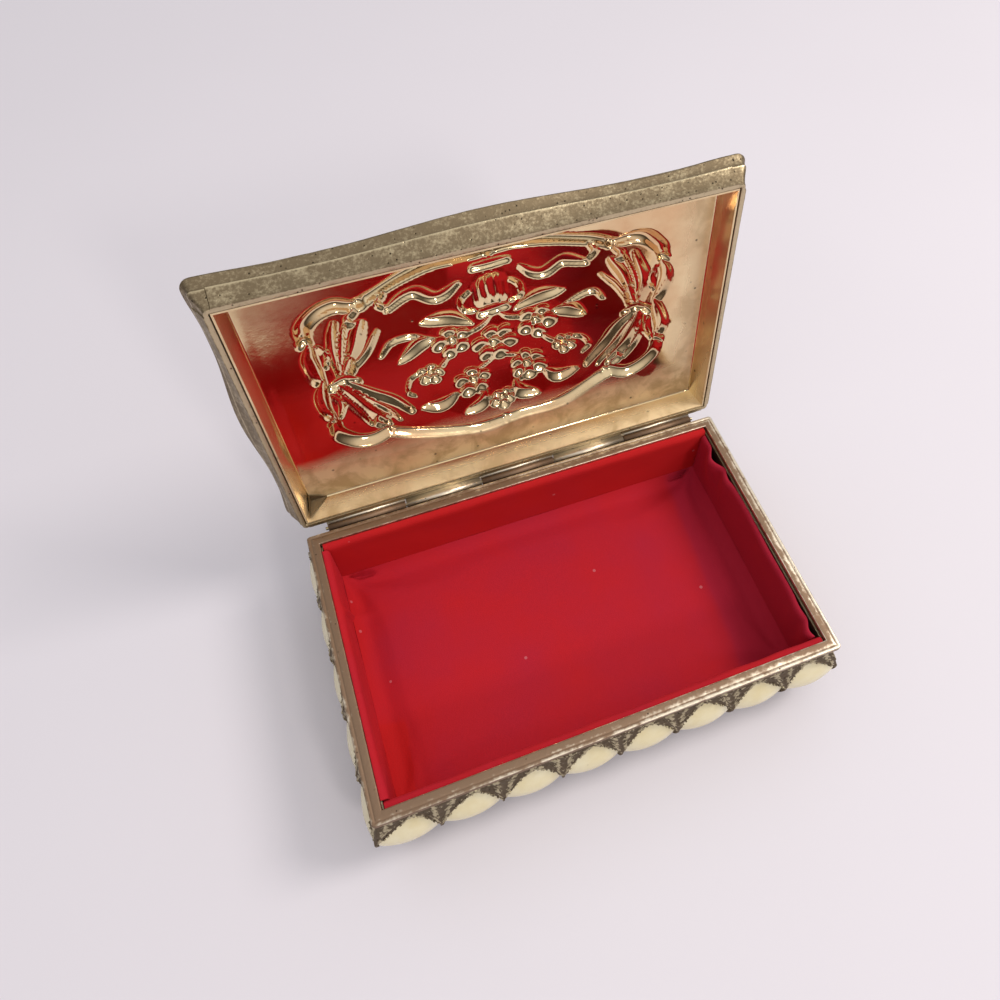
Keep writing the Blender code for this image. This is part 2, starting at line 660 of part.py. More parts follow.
def mirrored(stroke, turn_x, turn_y):
    """The same stroke on another side of the panel."""
    path, *shape = stroke
    return [(x * turn_x, y * turn_y) for x, y in path], *shape


def smooth_path(path):
    """A curve through a stroke's points, as short straight runs."""
    points = [Vector(point) for point in path]
    if len(points) < 3:
        return points
    ends = [2 * points[0] - points[1], *points, 2 * points[-1] - points[-2]]
    fine = []
    for before, first, last, after in zip(ends, ends[1:], ends[2:], ends[3:]):
        for step in range(STROKE_STEPS):
            t = step / STROKE_STEPS
            bend = (2 * before - 5 * first + 4 * last - after) * t**2
            twist = (3 * first - before - 3 * last + after) * t**3
            fine.append((2 * first + (last - before) * t + bend + twist) / 2)
    return [*fine, points[-1]]


def place_across(place, points, width, tip):
    """Where a place lies across a stroke: 0 on its middle line, and 1 at its edge or beyond."""
    nearest = 1.0
    runs = len(points) - 1
    for i, (first, last) in enumerate(zip(points, points[1:])):
        run = last - first
        share = max(0.0, min(1.0, (place - first).dot(run) / run.length_squared))
        taper = 1 - (1 - tip) * (2 * (i + share) / runs - 1) ** 2
        nearest = min(nearest, (place - first - run * share).length / (width * taper))
    return nearest


def relief_field(strokes):
    """A function that gives the relief's height at a point of the panel, in metres."""
    drawn = [(smooth_path(path), width, height, tip) for path, width, height, tip in strokes]

    def height_at(x, y):
        place = Vector((x, y + RELIEF_SHIFT)) * 1000
        highest = 0.0
        for line, width, height, tip in drawn:
            across = place_across(place, line, width, tip)
            highest = max(highest, height * (1 - across**2) ** RELIEF_SOFTNESS)
        return RELIEF_HEIGHT * highest

    return height_at


def field_dome(x, y):
    """How far the field within the cartouche is domed outwards, in metres."""
    reach = (abs(2 * x / FIELD_WIDTH) ** 3 + abs(2 * (y + RELIEF_SHIFT) / FIELD_DEPTH) ** 3) ** (1 / 3)
    return FIELD_DOME * max(0.0, 1 - reach**2.6)


def touches_relief(face, height_at, cell):
    """Whether the relief stands out under a face of the panel's grid."""
    centre = face.calc_center_median()
    reach = cell * PANEL_PROBE_SHARE
    steps = (-reach, 0, reach)
    return any(height_at(centre.x + dx, centre.y + dy) > PANEL_LEAST_RELIEF for dx in steps for dy in steps)


def split_along_relief(face, level_at):
    """Cuts a face of four corners in two, along the diagonal that lies nearer to the relief's surface."""
    centre = face.calc_center_median()
    level = level_at(centre.x, centre.y)
    a, b, c, d = face.verts
    if abs(a.co.z + c.co.z - 2 * level) < abs(b.co.z + d.co.z - 2 * level):
        bmesh.utils.face_split(face, a, c)
    else:
        bmesh.utils.face_split(face, b, d)


def panel_sizes():
    """Half the sheet's sizes, measured on its inner face: at its edge, its fold and the border's window."""
    setback = LID_EDGE_THICKNESS + SEAT_GAP + PANEL_SHEET
    edge = Vector((HALF_WIDTH - setback, HALF_DEPTH - setback))
    fold = edge - Vector((PANEL_WALL_SLOPE, PANEL_WALL_SLOPE))
    lip = LID_BORDER_WIDTH + SEAT_GAP
    return edge, fold, Vector((HALF_WIDTH - lip, HALF_DEPTH - lip))


def extend_border(plate, start, end, height):
    """Adds a strip to the sheet all round, from one rectangle's half sizes to another's."""
    border = [side for side in plate.edges if side.is_boundary]
    strip = bmesh.ops.extrude_edge_only(plate, edges=border)["geom"]
    for vertex in (item for item in strip if isinstance(item, bmesh.types.BMVert)):
        vertex.co = (vertex.co.x * end.x / start.x, vertex.co.y * end.y / start.y, height)


def build_panel(sheet, lid):
    """The lid's pressed sheet: a plate with its relief raised outwards, and a sloping wall all round."""
    edge, fold, window = panel_sizes()
    height_at = relief_field(cartouche_strokes() + curtain_strokes() + bouquet_strokes())
    plate = bmesh.new()
    columns, rows = round(2 * window.x / PANEL_CELL), round(2 * window.y / PANEL_CELL)
    bmesh.ops.create_grid(plate, x_segments=columns, y_segments=rows, size=1.0)
    bmesh.ops.scale(plate, vec=(window.x, window.y, 1.0), verts=plate.verts)
    cell = PANEL_CELL
    for _ in range(PANEL_REFINEMENTS):
        near = [face for face in plate.faces if touches_relief(face, height_at, cell)]
        edges = {side for face in near for side in face.edges}
        bmesh.ops.subdivide_edges(plate, edges=list(edges), cuts=1, use_grid_fill=True)
        cell /= 2
    bmesh.ops.triangulate(plate, faces=[face for face in plate.faces if len(face.verts) > 4])

    def level_at(x, y):
        inside = abs(x) < window.x - SEAT_GAP and abs(y) < window.y - SEAT_GAP
        return LID_BASE + PANEL_RECESS + (field_dome(x, y) + height_at(x, y) if inside else 0.0)

    for vertex in plate.verts:
        vertex.co.z = level_at(vertex.co.x, vertex.co.y)
    for face in [face for face in plate.faces if len(face.verts) == 4]:
        split_along_relief(face, level_at)
    extend_border(plate, window, fold, LID_BASE + PANEL_RECESS)
    extend_border(plate, fold, edge, LID_BASE + SEAT_GAP)
    bmesh.ops.recalc_face_normals(plate, faces=plate.faces)
    if sum(face.normal.z for face in plate.faces) < 0:
        bmesh.ops.reverse_faces(plate, faces=plate.faces)
    panel = make_piece("lid_panel", plate, sheet, lid, SOFT_SHARP_DEGREES)
    thickness = panel.modifiers.new("sheet", "SOLIDIFY")
    thickness.thickness = PANEL_SHEET
    thickness.offset = 1.0
    thickness.use_even_offset = True


def build_corner_tab(metal, lid):
    """A tab folded into the panel's rear left corner, over the plate and both of its walls."""
    fold = panel_sizes()[1]
    plate = LID_BASE + PANEL_RECESS
    clear = Vector((1, -1, -1)) * SEAT_GAP
    corner = Vector((-fold.x, fold.y, plate)) + clear
    lean = PANEL_WALL_SLOPE * (PANEL_RECESS - TAB_FOOT) / PANEL_RECESS
    foot = Vector((-fold.x - lean, fold.y + lean, LID_BASE + TAB_FOOT)) + clear
    tab = bmesh.new()
    points = [corner, corner + Vector((TAB_ALONG_BACK, 0, 0)), corner - Vector((0, TAB_ALONG_SIDE, 0)), foot]
    middle, back, side, low = [tab.verts.new(point) for point in points]
    for trio in ((middle, back, side), (middle, low, back), (middle, side, low)):
        tab.faces.new(trio)
    bmesh.ops.recalc_face_normals(tab, faces=tab.faces)
    if sum(face.normal.z for face in tab.faces) > 0:
        bmesh.ops.reverse_faces(tab, faces=tab.faces)
    piece = make_piece("lid_corner_tab", tab, metal, lid)
    thickness = piece.modifiers.new("sheet", "SOLIDIFY")
    thickness.thickness = TAB_SHEET
    thickness.offset = 1.0


def centre_on_origin(case):
    """Moves the case so that the origin is at the middle of the underside, with the lid open."""
    bpy.context.view_layer.update()
    graph = bpy.context.evaluated_depsgraph_get()
    points = []
    for piece in bpy.data.objects:
        if piece.type == "MESH" and not piece.hide_render:
            shape = piece.evaluated_get(graph)
            points += [shape.matrix_world @ vertex.co for vertex in shape.to_mesh().vertices]
            shape.to_mesh_clear()
    low = Vector([min(point[i] for point in points) for i in range(3)])
    high = Vector([max(point[i] for point in points) for i in range(3)])
    case.location = (-(low.x + high.x) / 2, -(low.y + high.y) / 2, -low.z)
    print("Size in mm:", [round(size * 1000, 3) for size in high - low])
    print("Case moved by, in mm:", [round(move * 1000, 4) for move in case.location])
    print("Hinge axis at, in mm:", [round(place * 1000, 4) for place in case.location + HINGE_AXIS])


def main():
    """Builds the case and its lid, then turns the lid open."""
    remove_everything()
    materials = [make_material(name, *look) for name, look in MATERIALS.items()]
    cast, sheet, enamel, velvet, wire = materials
    case = make_pivot("case", (0, 0, 0))
    lid = make_pivot("lid_pivot", HINGE_AXIS, case)

    build_wall(cast, case)
    for side, (side_name, _, _) in enumerate(SIDES):
        for scallop in range(side_sizes(side)[2]):
            build_inlay(f"enamel_{side_name}_{scallop + 1}", side, scallop, enamel, case)
    build_rim(cast, case)
    build_bottom(cast, case)
    for end, sign_y in (("front", -1), ("rear", 1)):
        for hand, sign_x in (("left", -1), ("right", 1)):
            build_foot(f"foot_{end}_{hand}", sign_x, sign_y, cast, case)
    build_lining(velvet, case)
    build_hinge(cast, wire, case, lid)
    build_lid_border(cast, lid)
    build_panel(sheet, lid)
    build_corner_tab(cast, lid)
    lid.rotation_euler.x = -math.radians(LID_OPEN_DEGREES)
    centre_on_origin(case)


main()
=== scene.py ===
"""Dresses the footed trinket box with fine meshes and finishes, and sets it on a plain stage.

The case is cast and tarnished, with enamel in its scallops and red velvet inside. The lid holds a
thin polished sheet, embossed from within, that mirrors the lining and the floor when the lid is
open."""

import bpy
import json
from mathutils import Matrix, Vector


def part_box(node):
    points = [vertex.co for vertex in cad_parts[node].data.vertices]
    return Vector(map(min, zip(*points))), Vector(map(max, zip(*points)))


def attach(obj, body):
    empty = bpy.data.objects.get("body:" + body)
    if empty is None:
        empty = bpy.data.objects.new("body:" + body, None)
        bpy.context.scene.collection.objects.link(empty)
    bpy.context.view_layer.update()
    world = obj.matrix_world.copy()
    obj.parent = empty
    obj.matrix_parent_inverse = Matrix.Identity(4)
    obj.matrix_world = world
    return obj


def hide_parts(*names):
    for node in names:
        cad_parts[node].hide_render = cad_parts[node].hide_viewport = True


bl_info = {
    "name": "Footed Trinket Box",
    "version": (1, 0, 0),
    "blender": (4, 5, 0),
    "location": "3D View > Sidebar > Trinket Box",
    "description": "Dresses a small enamelled box with a velvet lining and an embossed lid",
    "category": "Add Mesh",
}

import json
import math
import random
from functools import partial
from itertools import product

import bmesh
import bpy
import numpy as np
from bpy.props import FloatProperty, FloatVectorProperty, PointerProperty
from mathutils import Matrix, Vector, noise

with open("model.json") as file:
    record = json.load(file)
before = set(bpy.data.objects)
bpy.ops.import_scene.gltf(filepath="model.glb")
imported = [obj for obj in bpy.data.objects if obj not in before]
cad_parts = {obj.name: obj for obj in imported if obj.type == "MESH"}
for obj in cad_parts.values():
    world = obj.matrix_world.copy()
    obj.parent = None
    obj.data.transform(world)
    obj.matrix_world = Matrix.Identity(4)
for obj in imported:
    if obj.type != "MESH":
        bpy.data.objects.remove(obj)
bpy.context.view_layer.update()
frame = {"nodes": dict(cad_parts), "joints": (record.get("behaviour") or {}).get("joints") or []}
MM = 0.001

# The case's own frame: the middle of the rim on plan, the ground, +X to the right and +Y to the
# hinge
RIM_LOW, RIM_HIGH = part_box("rim_frame")
HALF_WIDTH = (RIM_HIGH.x - RIM_LOW.x) / 2
HALF_DEPTH = (RIM_HIGH.y - RIM_LOW.y) / 2
CASE_HEIGHT = RIM_HIGH.z
CASE_PLACE = Matrix.Translation((0, (RIM_LOW.y + RIM_HIGH.y) / 2, 0))

# The hinge, and the turn that takes a lid drawn shut to where it rests
LID_JOINT = frame["joints"][0]
HINGE_POINT = Vector(LID_JOINT["pos_m"])
HINGE_AXIS = CASE_PLACE.inverted() @ HINGE_POINT
LID_TURN = Matrix.Rotation(-math.radians(LID_JOINT["range_deg"][1]), 4, "X")
LID_PLACE = Matrix.Translation(HINGE_POINT) @ LID_TURN @ Matrix.Translation(-HINGE_AXIS)
PLACES = {"case": CASE_PLACE, "lid": LID_PLACE}

# Cast wall: drops are measured down from the rim's top, and swells and insets from the rim's edge.
# What seats or carries it is as in the solids
RIM_FLAT = 3.0 * MM
RIM_THICKNESS = RIM_HIGH.z - RIM_LOW.z
SEAT_GAP = 0.3 * MM
FOOT_HEIGHT = 4.0 * MM
PLINTH_HEIGHT = 4.5 * MM
WALL_TOP_INSET = 1.3 * MM
WALL_SWELL = 1.5 * MM
WALL_SWELL_DROP = 13.6 * MM
WALL_FOOT_INSET = 1.2 * MM
WALL_THICKNESS = 1.0 * MM
SCALLOP_BULGE = 1.7 * MM
SCALLOP_CREST_BELOW_ARCH = 11.2 * MM
SCALLOP_TUCK = math.radians(76)
ARCH_BELOW_WALL_TOP = 2.3 * MM
ARCH_HEIGHT = 7.8 * MM
ARCH_POWER = 1.45
RIB_WIDTH = 0.5 * MM
FLORET_RAISE = 1.0 * MM
FLORET_SHOULDER = 1.7 * MM
PLINTH_RAISE = 0.3 * MM
CELL_STEP = 0.2 * MM
ENAMEL_RECESS = 1.0 * MM
ENAMEL_THICKNESS = 0.55 * MM
ENAMEL_GAP = 0.05 * MM
LEDGE_WIDTH = 2.5 * MM
LEDGE_THICKNESS = 1.5 * MM
FRONT_SCALLOPS = 8
SIDE_SCALLOPS = 5

WALL_TOP_DROP = RIM_THICKNESS + SEAT_GAP
WALL_FOOT_DROP = CASE_HEIGHT - FOOT_HEIGHT
ARCH_DROP = WALL_TOP_DROP + ARCH_BELOW_WALL_TOP
NOTCH_DROP = ARCH_DROP + ARCH_HEIGHT
CREST_DROP = ARCH_DROP + SCALLOP_CREST_BELOW_ARCH
PLINTH_DROP = WALL_FOOT_DROP - PLINTH_HEIGHT

# Florets between the arches, whose rises are shares of their depth, and the leaf that wraps each
# corner
FLORET_VEINS = 15
FLORET_BARB = 1.0 * MM
FLORET_ROOT = 1.5 * MM
FLORET_MARGIN = 0.25 * MM
FLORET_FADE = 0.7 * MM
FLORET_MEAN = 0.35
VEIN_RISE, SPINE_RISE, GRAIN_RISE = 0.65, 0.25, 0.7
CORNER_LEAF_OUT = 0.35 * MM
CORNER_LEAF_WIDTH = 3.4 * MM
GRAIN_SIZE = 0.7 * MM
ARCH_BEADS = 17
ARCH_BEAD_RADIUS = 0.3 * MM
ARCH_BEAD_SINK = 0.15 * MM

# How finely the wall and the enamel are divided
CELL_COLUMNS = 34
FLORET_ROWS = 20
CELL_ROWS = 9
PLINTH_ROWS = 5
INNER_ROWS = 3
ENAMEL_COLUMNS = 20
ENAMEL_ROWS = 22

# Each side's name, the way along it and the way out of it, counter-clockwise from above
SIDES = (
    ("front", Vector((1, 0)), Vector((0, -1))),
    ("right", Vector((0, 1)), Vector((1, 0))),
    ("back", Vector((-1, 0)), Vector((0, 1))),
    ("left", Vector((0, -1)), Vector((-1, 0))),
)
RIGHT, BACK, LEFT = 1, 2, 3

# Rim: inset from its edge and height from its top, in mm, and wear from 0 to 1, round its section
RIM_SECTION = (
    (0.0, -1.6, 0.1), (0.0, -0.5, 0.2), (0.04, -0.22, 0.6), (0.13, -0.08, 0.9),
    (0.28, -0.02, 0.7), (0.6, -0.03, 0.5), (0.85, -0.08, 0.3), (0.97, -0.12, 0.1),
    (1.1, -0.1, 0.25), (1.22, -0.03, 0.45), (1.45, -0.01, 0.35), (2.1, 0.0, 0.1),
    (2.6, -0.01, 0.05), (2.87, -0.02, 0.4), (2.96, -0.08, 0.9), (3.0, -0.25, 0.8),
    (3.0, -0.9, 0.2), (3.0, -1.6, 0.0),
)
RIM_CORNER_RADIUS = 0.9 * MM
RIM_INNER_RADIUS = 0.15 * MM
RIM_STEPS = 110
RIM_WOBBLE = 0.05 * MM
RIM_WOBBLE_LENGTH = 7 * MM
RIM_FLAKE = 2.5 * MM
RIM_FLECK = 0.8 * MM

# Hinge
HINGE_LENGTH = 108.0 * MM
KNUCKLES = 5
KNUCKLE_RADIUS = 1.0 * MM
KNUCKLE_GAP = 0.3 * MM
LEAF_THICKNESS = 0.42 * MM
LEAF_HEIGHT = 3.2 * MM
LEAF_STEPS = 4
HUG_GAP = 0.05 * MM
CURL_DEGREES = 318
CURL_STEPS = 26
WIRE_RADIUS = 0.45 * MM
WIRE_SEGMENTS = 24
WIRE_END_RADIUS = 0.15 * MM

# Lid border
LID_BASE = CASE_HEIGHT + SEAT_GAP
LID_SKIRT_HEIGHT = 4.2 * MM
LID_SKIRT_FLARE = 1.6 * MM
LID_BAND_RAISE = 0.28 * MM
LID_BAND_STOP = 1.7 * MM
LID_BAND_EDGE = 0.1 * MM
LID_BAND_ROOM = 0.5 * MM
LID_BAND_RIDGE = 0.2 * MM
LID_CREST_FLARE = 0.93
LID_EDGE_HEIGHT = 7.3 * MM
LID_STEP = 0.3 * MM
LID_OVERHANG = 2.6 * MM
LID_CENTRE_SWELL = 1.6 * MM
LID_CENTRE_REACH = 0.62
LID_CORNER_SWELL = 0.7 * MM
LID_CORNER_REACH = 0.72
LID_REAR_OVERHANG = 1.8 * MM
LID_CORNER_RADIUS = 2.6 * MM
LID_SKIRT_CORNER_RADIUS = 1.0 * MM
LID_EDGE_THICKNESS = 0.9 * MM
LID_BORDER_WIDTH = 3.7 * MM
LID_BORDER_RISE = 1.5 * MM
LID_CASTING_WOBBLE = 0.07 * MM
LID_CASTING_GRAIN = 2.2 * MM
LID_STEPS = 100
LID_END_STEPS = 4
SKIRT_STEPS = 7
FLARE_STEPS = 8
CREST_STEPS = 6
CORNER_STEPS = 8

# Lid panel: a sheet whose relief is raised away from the case. The relief is drawn in mm
PANEL_RECESS = 6.0 * MM
PANEL_SHEET = 0.45 * MM
PANEL_WALL_SLOPE = 1.7 * MM
PANEL_FOLD_RADIUS = 0.6 * MM
PANEL_CELL = 0.4 * MM
PANEL_COARSE_CELLS = 6
PANEL_WAVE = 0.1 * MM
PANEL_WAVE_LENGTH = 30 * MM
PANEL_MARGIN = 4 * MM
PANEL_FOLD_STEPS = 5
FIELD_HALF = (45.0, 28.5)
FIELD_LEFT_HALF = (60.0, 34.0)
FIELD_DOME = 2.2 * MM
RELIEF_SHIFT = 3.6
RELIEF_REACH = (47.4, 30.4)
RELIEF_SOFTNESS = 1.2
STROKE_STEPS = 6
HAZE_BY_HINGE = 22.0
HAZE_SOFTNESS = 7.0
HAZE_CORNER = (-50.0, -30.0)
HAZE_CORNER_REACH = (15.0, 9.0)

# Lining
LINING_THICKNESS = 1.2 * MM
LINING_TOP_DROP = 0.8 * MM
LINING_LEANING_DROP = 1.6 * MM
LINING_ROLL = 0.53 * MM
LINING_ROLL_DROP = 1.9 * MM
LINING_ROLL_EASE = 0.5 * MM
LINING_CREASE = 0.8 * MM
LINING_WAVE = 0.25 * MM
LINING_WAVE_LENGTH = 9 * MM
PAD_SPREAD = Vector((0.5, 0.28, 0)) * MM
PAD_RISE = (0.45, 0.8)
PAD_SHOULDER = 9 * MM
PAD_COVE = 3.0 * MM
PAD_COVE_REACH = 4.5 * MM
LINING_INSET = 0.6 * MM
LINING_FUZZ = 0.16 * MM
LINING_FUZZ_LENGTH = 0.8 * MM
LINING_STEPS = 120
LINING_ROWS = 18
PAD_STEPS = 80
PAD_ROWS = 48
CLOTH_SCALE = 10
CLOTH_FRAMES = 16
CLOTH_PRESSURE = 1.5
CLOTH_STIFFNESS = 8.0

# Folds of the leaning strip, in mm: how far each stands in, where it is along the strip and its
# reach
RIGHT_FOLDS = (
    (1.8, 24.5, 4.5), (-0.4, 20.2, 2.0), (0.4, 16.6, 3.0),
    (-0.3, 6.0, 14.0), (0.4, -24.0, 4.0), (1.2, -30.8, 3.6),
)

# Camera, solved from the rim's and the lid's corners in the photograph
CAMERA_FROM_RIM = Vector((-34.595, -74.843, 194.701)) * MM
CAMERA_TURN_DEGREES = (32.805, -1.7534, -20.6148)
CAMERA_SENSOR_MM = 36.0
CAMERA_LENS_MM = 28.961
CAMERA_SHIFT = (-0.06633, -0.05001)

# Stage: a key light from the right and behind, and a small one in front
FLOOR_SIZE = 3.0
KEY_WAY = Vector((0.64, -0.08, 0.76))
LAMP_DISTANCE = 1.0
KEY_SIZE = 0.34
FILL_WAY = Vector((0.22, -0.72, 0.6))
FILL_SIZE = 0.14


def linear_colour(code):
    """The linear red, green and blue of an sRGB hex code."""
    shares = [int(code[i : i + 2], 16) / 255 for i in (1, 3, 5)]
    return tuple(s / 12.92 if s <= 0.04045 else ((s + 0.055) / 1.055) ** 2.4 for s in shares)


def length_property(name, description, size):
    """A length that a user can change."""
    return FloatProperty(name=name, description=description, default=size, min=0, unit="LENGTH")


def colour_property(name, description, code):
    """A colour that a user can change, from its hex code."""
    look = {"default": linear_colour(code), "size": 3, "min": 0, "max": 1, "subtype": "COLOR"}
    return FloatVectorProperty(name=name, description=description, **look)


class TrinketBoxSizes(bpy.types.PropertyGroup):
    """Sizes of the details that the solids leave out."""

    relief_height: length_property("Relief height", "Depth of the lid's embossing", 1.8 * MM)
    floret_depth: length_property("Floret depth", "Depth of the cast florets' veins", 0.6 * MM)
    pad_puff: length_property("Pad puff", "How far the floor's pad may swell", 0.7 * MM)
    lining_lean: length_property("Lining lean", "How far the right strip leans in", 0.2 * MM)


class TrinketBoxColours(bpy.types.PropertyGroup):
    """Colours of the finishes."""

    enamel: colour_property("Enamel", "Cream enamel in the scallops", "#EEE3BE")
    velvet: colour_property("Velvet", "Pile of the lining", "#BE1C1F")
    # Painted shade: the lining's colour where the right wall's shadow falls, mixed in part on the
    # other strips and the floor.
    velvet_painted_shade: colour_property("Velvet shade", "Pile brushed away from the light", "#AA2036")
    wall_dull: colour_property("Wall, dull", "Tarnish in the florets", "#746655")
    wall_bright: colour_property("Wall, bright", "Rubbed metal on the florets", "#C4B898")
    rim_dull: colour_property("Rim, dull", "Tarnished plating of the rim", "#907762")
    rim_bright: colour_property("Rim, bright", "Rubbed plating of the rim", "#E0D3BE")
    lid_dull: colour_property("Lid border, dull", "Olive tarnish of the lid's border", "#82725A")
    lid_bright: colour_property("Lid border, bright", "Gilding left on the lid's border", "#C6B594")
    sheet: colour_property("Sheet", "Polished brass sheet", "#E8CFA4")
    floor: colour_property("Floor", "Pale floor", "#E3DEE6")


class TrinketBoxStage(bpy.types.PropertyGroup):
    """Light on the stage."""

    key_power: FloatProperty(
        name="Key light", description="Power of the key light", default=4.0, min=0, unit="POWER"
    )
    fill_power: FloatProperty(
        name="Fill light", description="Power of the front light", default=1.6, min=0, unit="POWER"
    )
    sky_strength: FloatProperty(
        name="Sky", description="Strength of the soft light all round", default=0.86, min=0
    )


def add_node(tree, kind, inputs=(), output=0, **choices):
    """Adds a shader node to a tree, with its choices and its inputs' values or links. Gives one
    output."""
    node = tree.nodes.new("ShaderNode" + kind)
    for name, choice in choices.items():
        setattr(node, name, choice)
    for socket, value in dict(inputs).items():
        if isinstance(value, bpy.types.NodeSocket):
            tree.links.new(value, node.inputs[socket])
        else:
            node.inputs[socket].default_value = value
    return node.outputs[output]


# A Mix node's sockets for colours
MIX_COLOUR = {"data_type": "RGBA", "output": 2}
SHARE, FIRST, SECOND = 0, 6, 7


def new_material(name, **values):
    """A material with plain values on its Principled shader. Gives it, its shader, what adds a node
    to it and the object's coordinates."""
    material = bpy.data.materials.new(name)
    material.use_nodes = True
    shader = material.node_tree.nodes["Principled BSDF"]
    for socket, value in values.items():
        shader.inputs[socket.replace("_", " ")].default_value = value
    add = partial(add_node, material.node_tree)
    return material, shader, add, add("TexCoord", output="Object")


def link(output, shader, socket):
    """Links an output to one of a shader's sockets."""
    shader.id_data.links.new(output, shader.inputs[socket])


def opaque(colour, shares=1.0):
    """A colour for a socket, darkened to a share of itself or to one of each channel."""
    return (*(np.array(colour) * shares), 1.0)


def pits(add, place, spacing, share):
    """Round pits a spacing apart, of which only a share are there: 1 in a pit and 0 between
    them."""
    cell = {"Vector": place, "Scale": 1 / spacing}
    away = add("TexVoronoi", cell)
    draw = add("SeparateColor", {"Color": add("TexVoronoi", cell, output="Color")})
    hollow = {"Value": away, "From Min": 0.1, "From Max": 0.3, "To Min": 1.0, "To Max": 0.0}
    hollow = add("MapRange", hollow)
    there = add("MapRange", {"Value": draw, "From Min": 1 - share, "From Max": 1.04 - share})
    return add("Math", {0: hollow, 1: there}, operation="MULTIPLY")


def cast_alloy(part, name, patch, pitted, worn_from, roughness):
    """Zinc alloy, cast, plated and handled for years. Tarnish lies in its hollows, the parts that
    stand out are rubbed bright, and the plating has pits. The attribute worn says how far a place
    stands out; on the hinge's lid leaf, the wall's inside face and the rim's right side it also
    carries painted light, drawn in the bright colour."""
    colours = bpy.context.scene.trinket_box_colours
    dull, bright = getattr(colours, part + "_dull"), getattr(colours, part + "_bright")
    material, shader, add, place = new_material(name, Metallic=1.0, Roughness=roughness)
    worn = add("Attribute", output="Fac", attribute_name="worn")
    cloud = add("TexNoise", {"Vector": place, "Scale": 1 / patch, "Detail": 6.0, "Roughness": 0.62})
    grain = add("TexNoise", {"Vector": place, "Scale": 5 / patch, "Detail": 4.0, "Roughness": 0.6})
    rubbed = add("Math", {0: cloud, 1: 0.65, 2: worn}, operation="MULTIPLY_ADD")
    rubbed = add("Math", {0: grain, 1: 0.75, 2: rubbed}, operation="MULTIPLY_ADD")
    rubbed = {"Value": rubbed, "From Min": worn_from, "From Max": worn_from + 0.45}
    rubbed = add("MapRange", rubbed, interpolation_type="SMOOTHSTEP")
    tone = add("Mix", {SHARE: rubbed, FIRST: opaque(dull), SECOND: opaque(bright)}, **MIX_COLOUR)
    pit = pits(add, place, 0.9 * MM, pitted)
    tone = add("Mix", {SHARE: pit, FIRST: tone, SECOND: opaque(dull, 0.15)}, **MIX_COLOUR)
    link(tone, shader, "Base Color")
    rough = {"Value": rubbed, "To Min": roughness + 0.12, "To Max": roughness - 0.08}
    link(add("MapRange", rough), shader, "Roughness")
    height = add("Math", {0: grain, 1: pit}, operation="SUBTRACT")
    link(add("Bump", {"Height": height, "Distance": 0.08 * MM, "Strength": 1.0}), shader, "Normal")
    return material


def brass_sheet():
    """Brass sheet, polished and then pressed: a mirror with faint waves, pinkish tarnish and black
    pits. The attribute worn says where fingers have left a film that blurs it: by the hinge, at one
    end and in a corner."""
    sheet = bpy.context.scene.trinket_box_colours.sheet
    material, shader, add, place = new_material("Polished Brass Sheet", Metallic=1.0, Roughness=0.1)
    cloud = {"Vector": place, "Scale": 1 / (20 * MM), "Detail": 4.0, "Roughness": 0.55}
    cloud = add("TexNoise", cloud)
    tarnish = add("MapRange", {"Value": cloud, "From Min": 0.45, "From Max": 0.7})
    pink = opaque(sheet, (0.86, 0.7, 0.64))
    tone = add("Mix", {SHARE: tarnish, FIRST: opaque(sheet), SECOND: pink}, **MIX_COLOUR)
    film = add("Attribute", output="Fac", attribute_name="worn")
    mottle = {"Scale": 1 / (8 * MM), "Detail": 5.0, "Roughness": 0.6, "Distortion": 0.4}
    mottle = add("TexNoise", {"Vector": place, **mottle})
    mottle = add("MapRange", {"Value": mottle, "From Min": 0.45, "From Max": 0.62})
    mottle = add("Math", {0: mottle, 1: film}, operation="MULTIPLY")
    stain = opaque(sheet, (0.66, 0.6, 0.52))
    tone = add("Mix", {SHARE: mottle, FIRST: tone, SECOND: stain}, **MIX_COLOUR)
    pit = pits(add, place, 1.5 * MM, 0.05)
    tone = add("Mix", {SHARE: pit, FIRST: tone, SECOND: opaque(sheet, 0.08)}, **MIX_COLOUR)
    link(tone, shader, "Base Color")
    haze = {"Vector": place, "Scale": 1 / (4 * MM), "Detail": 6.0, "Roughness": 0.7}
    haze = add("TexNoise", haze)
    film = add("Math", {0: cloud, 1: 0.5, 2: film}, operation="MULTIPLY_ADD")
    clear, hazy = 0.05, 0.38
    film = {"Value": film, "From Min": 0.3, "From Max": 1.1, "To Min": clear, "To Max": hazy}
    film = add("MapRange", film)
    rough = add("Math", {0: haze, 1: 0.08, 2: film}, operation="MULTIPLY_ADD")
    link(rough, shader, "Roughness")
    bare = {"Value": film, "From Min": clear, "From Max": hazy, "To Min": 1.0, "To Max": 0.5}
    link(add("MapRange", bare), shader, "Metallic")
    height = add("Math", {0: haze, 1: pit}, operation="SUBTRACT")
    link(add("Bump", {"Height": height, "Distance": 0.02 * MM, "Strength": 1.0}), shader, "Normal")
    return material


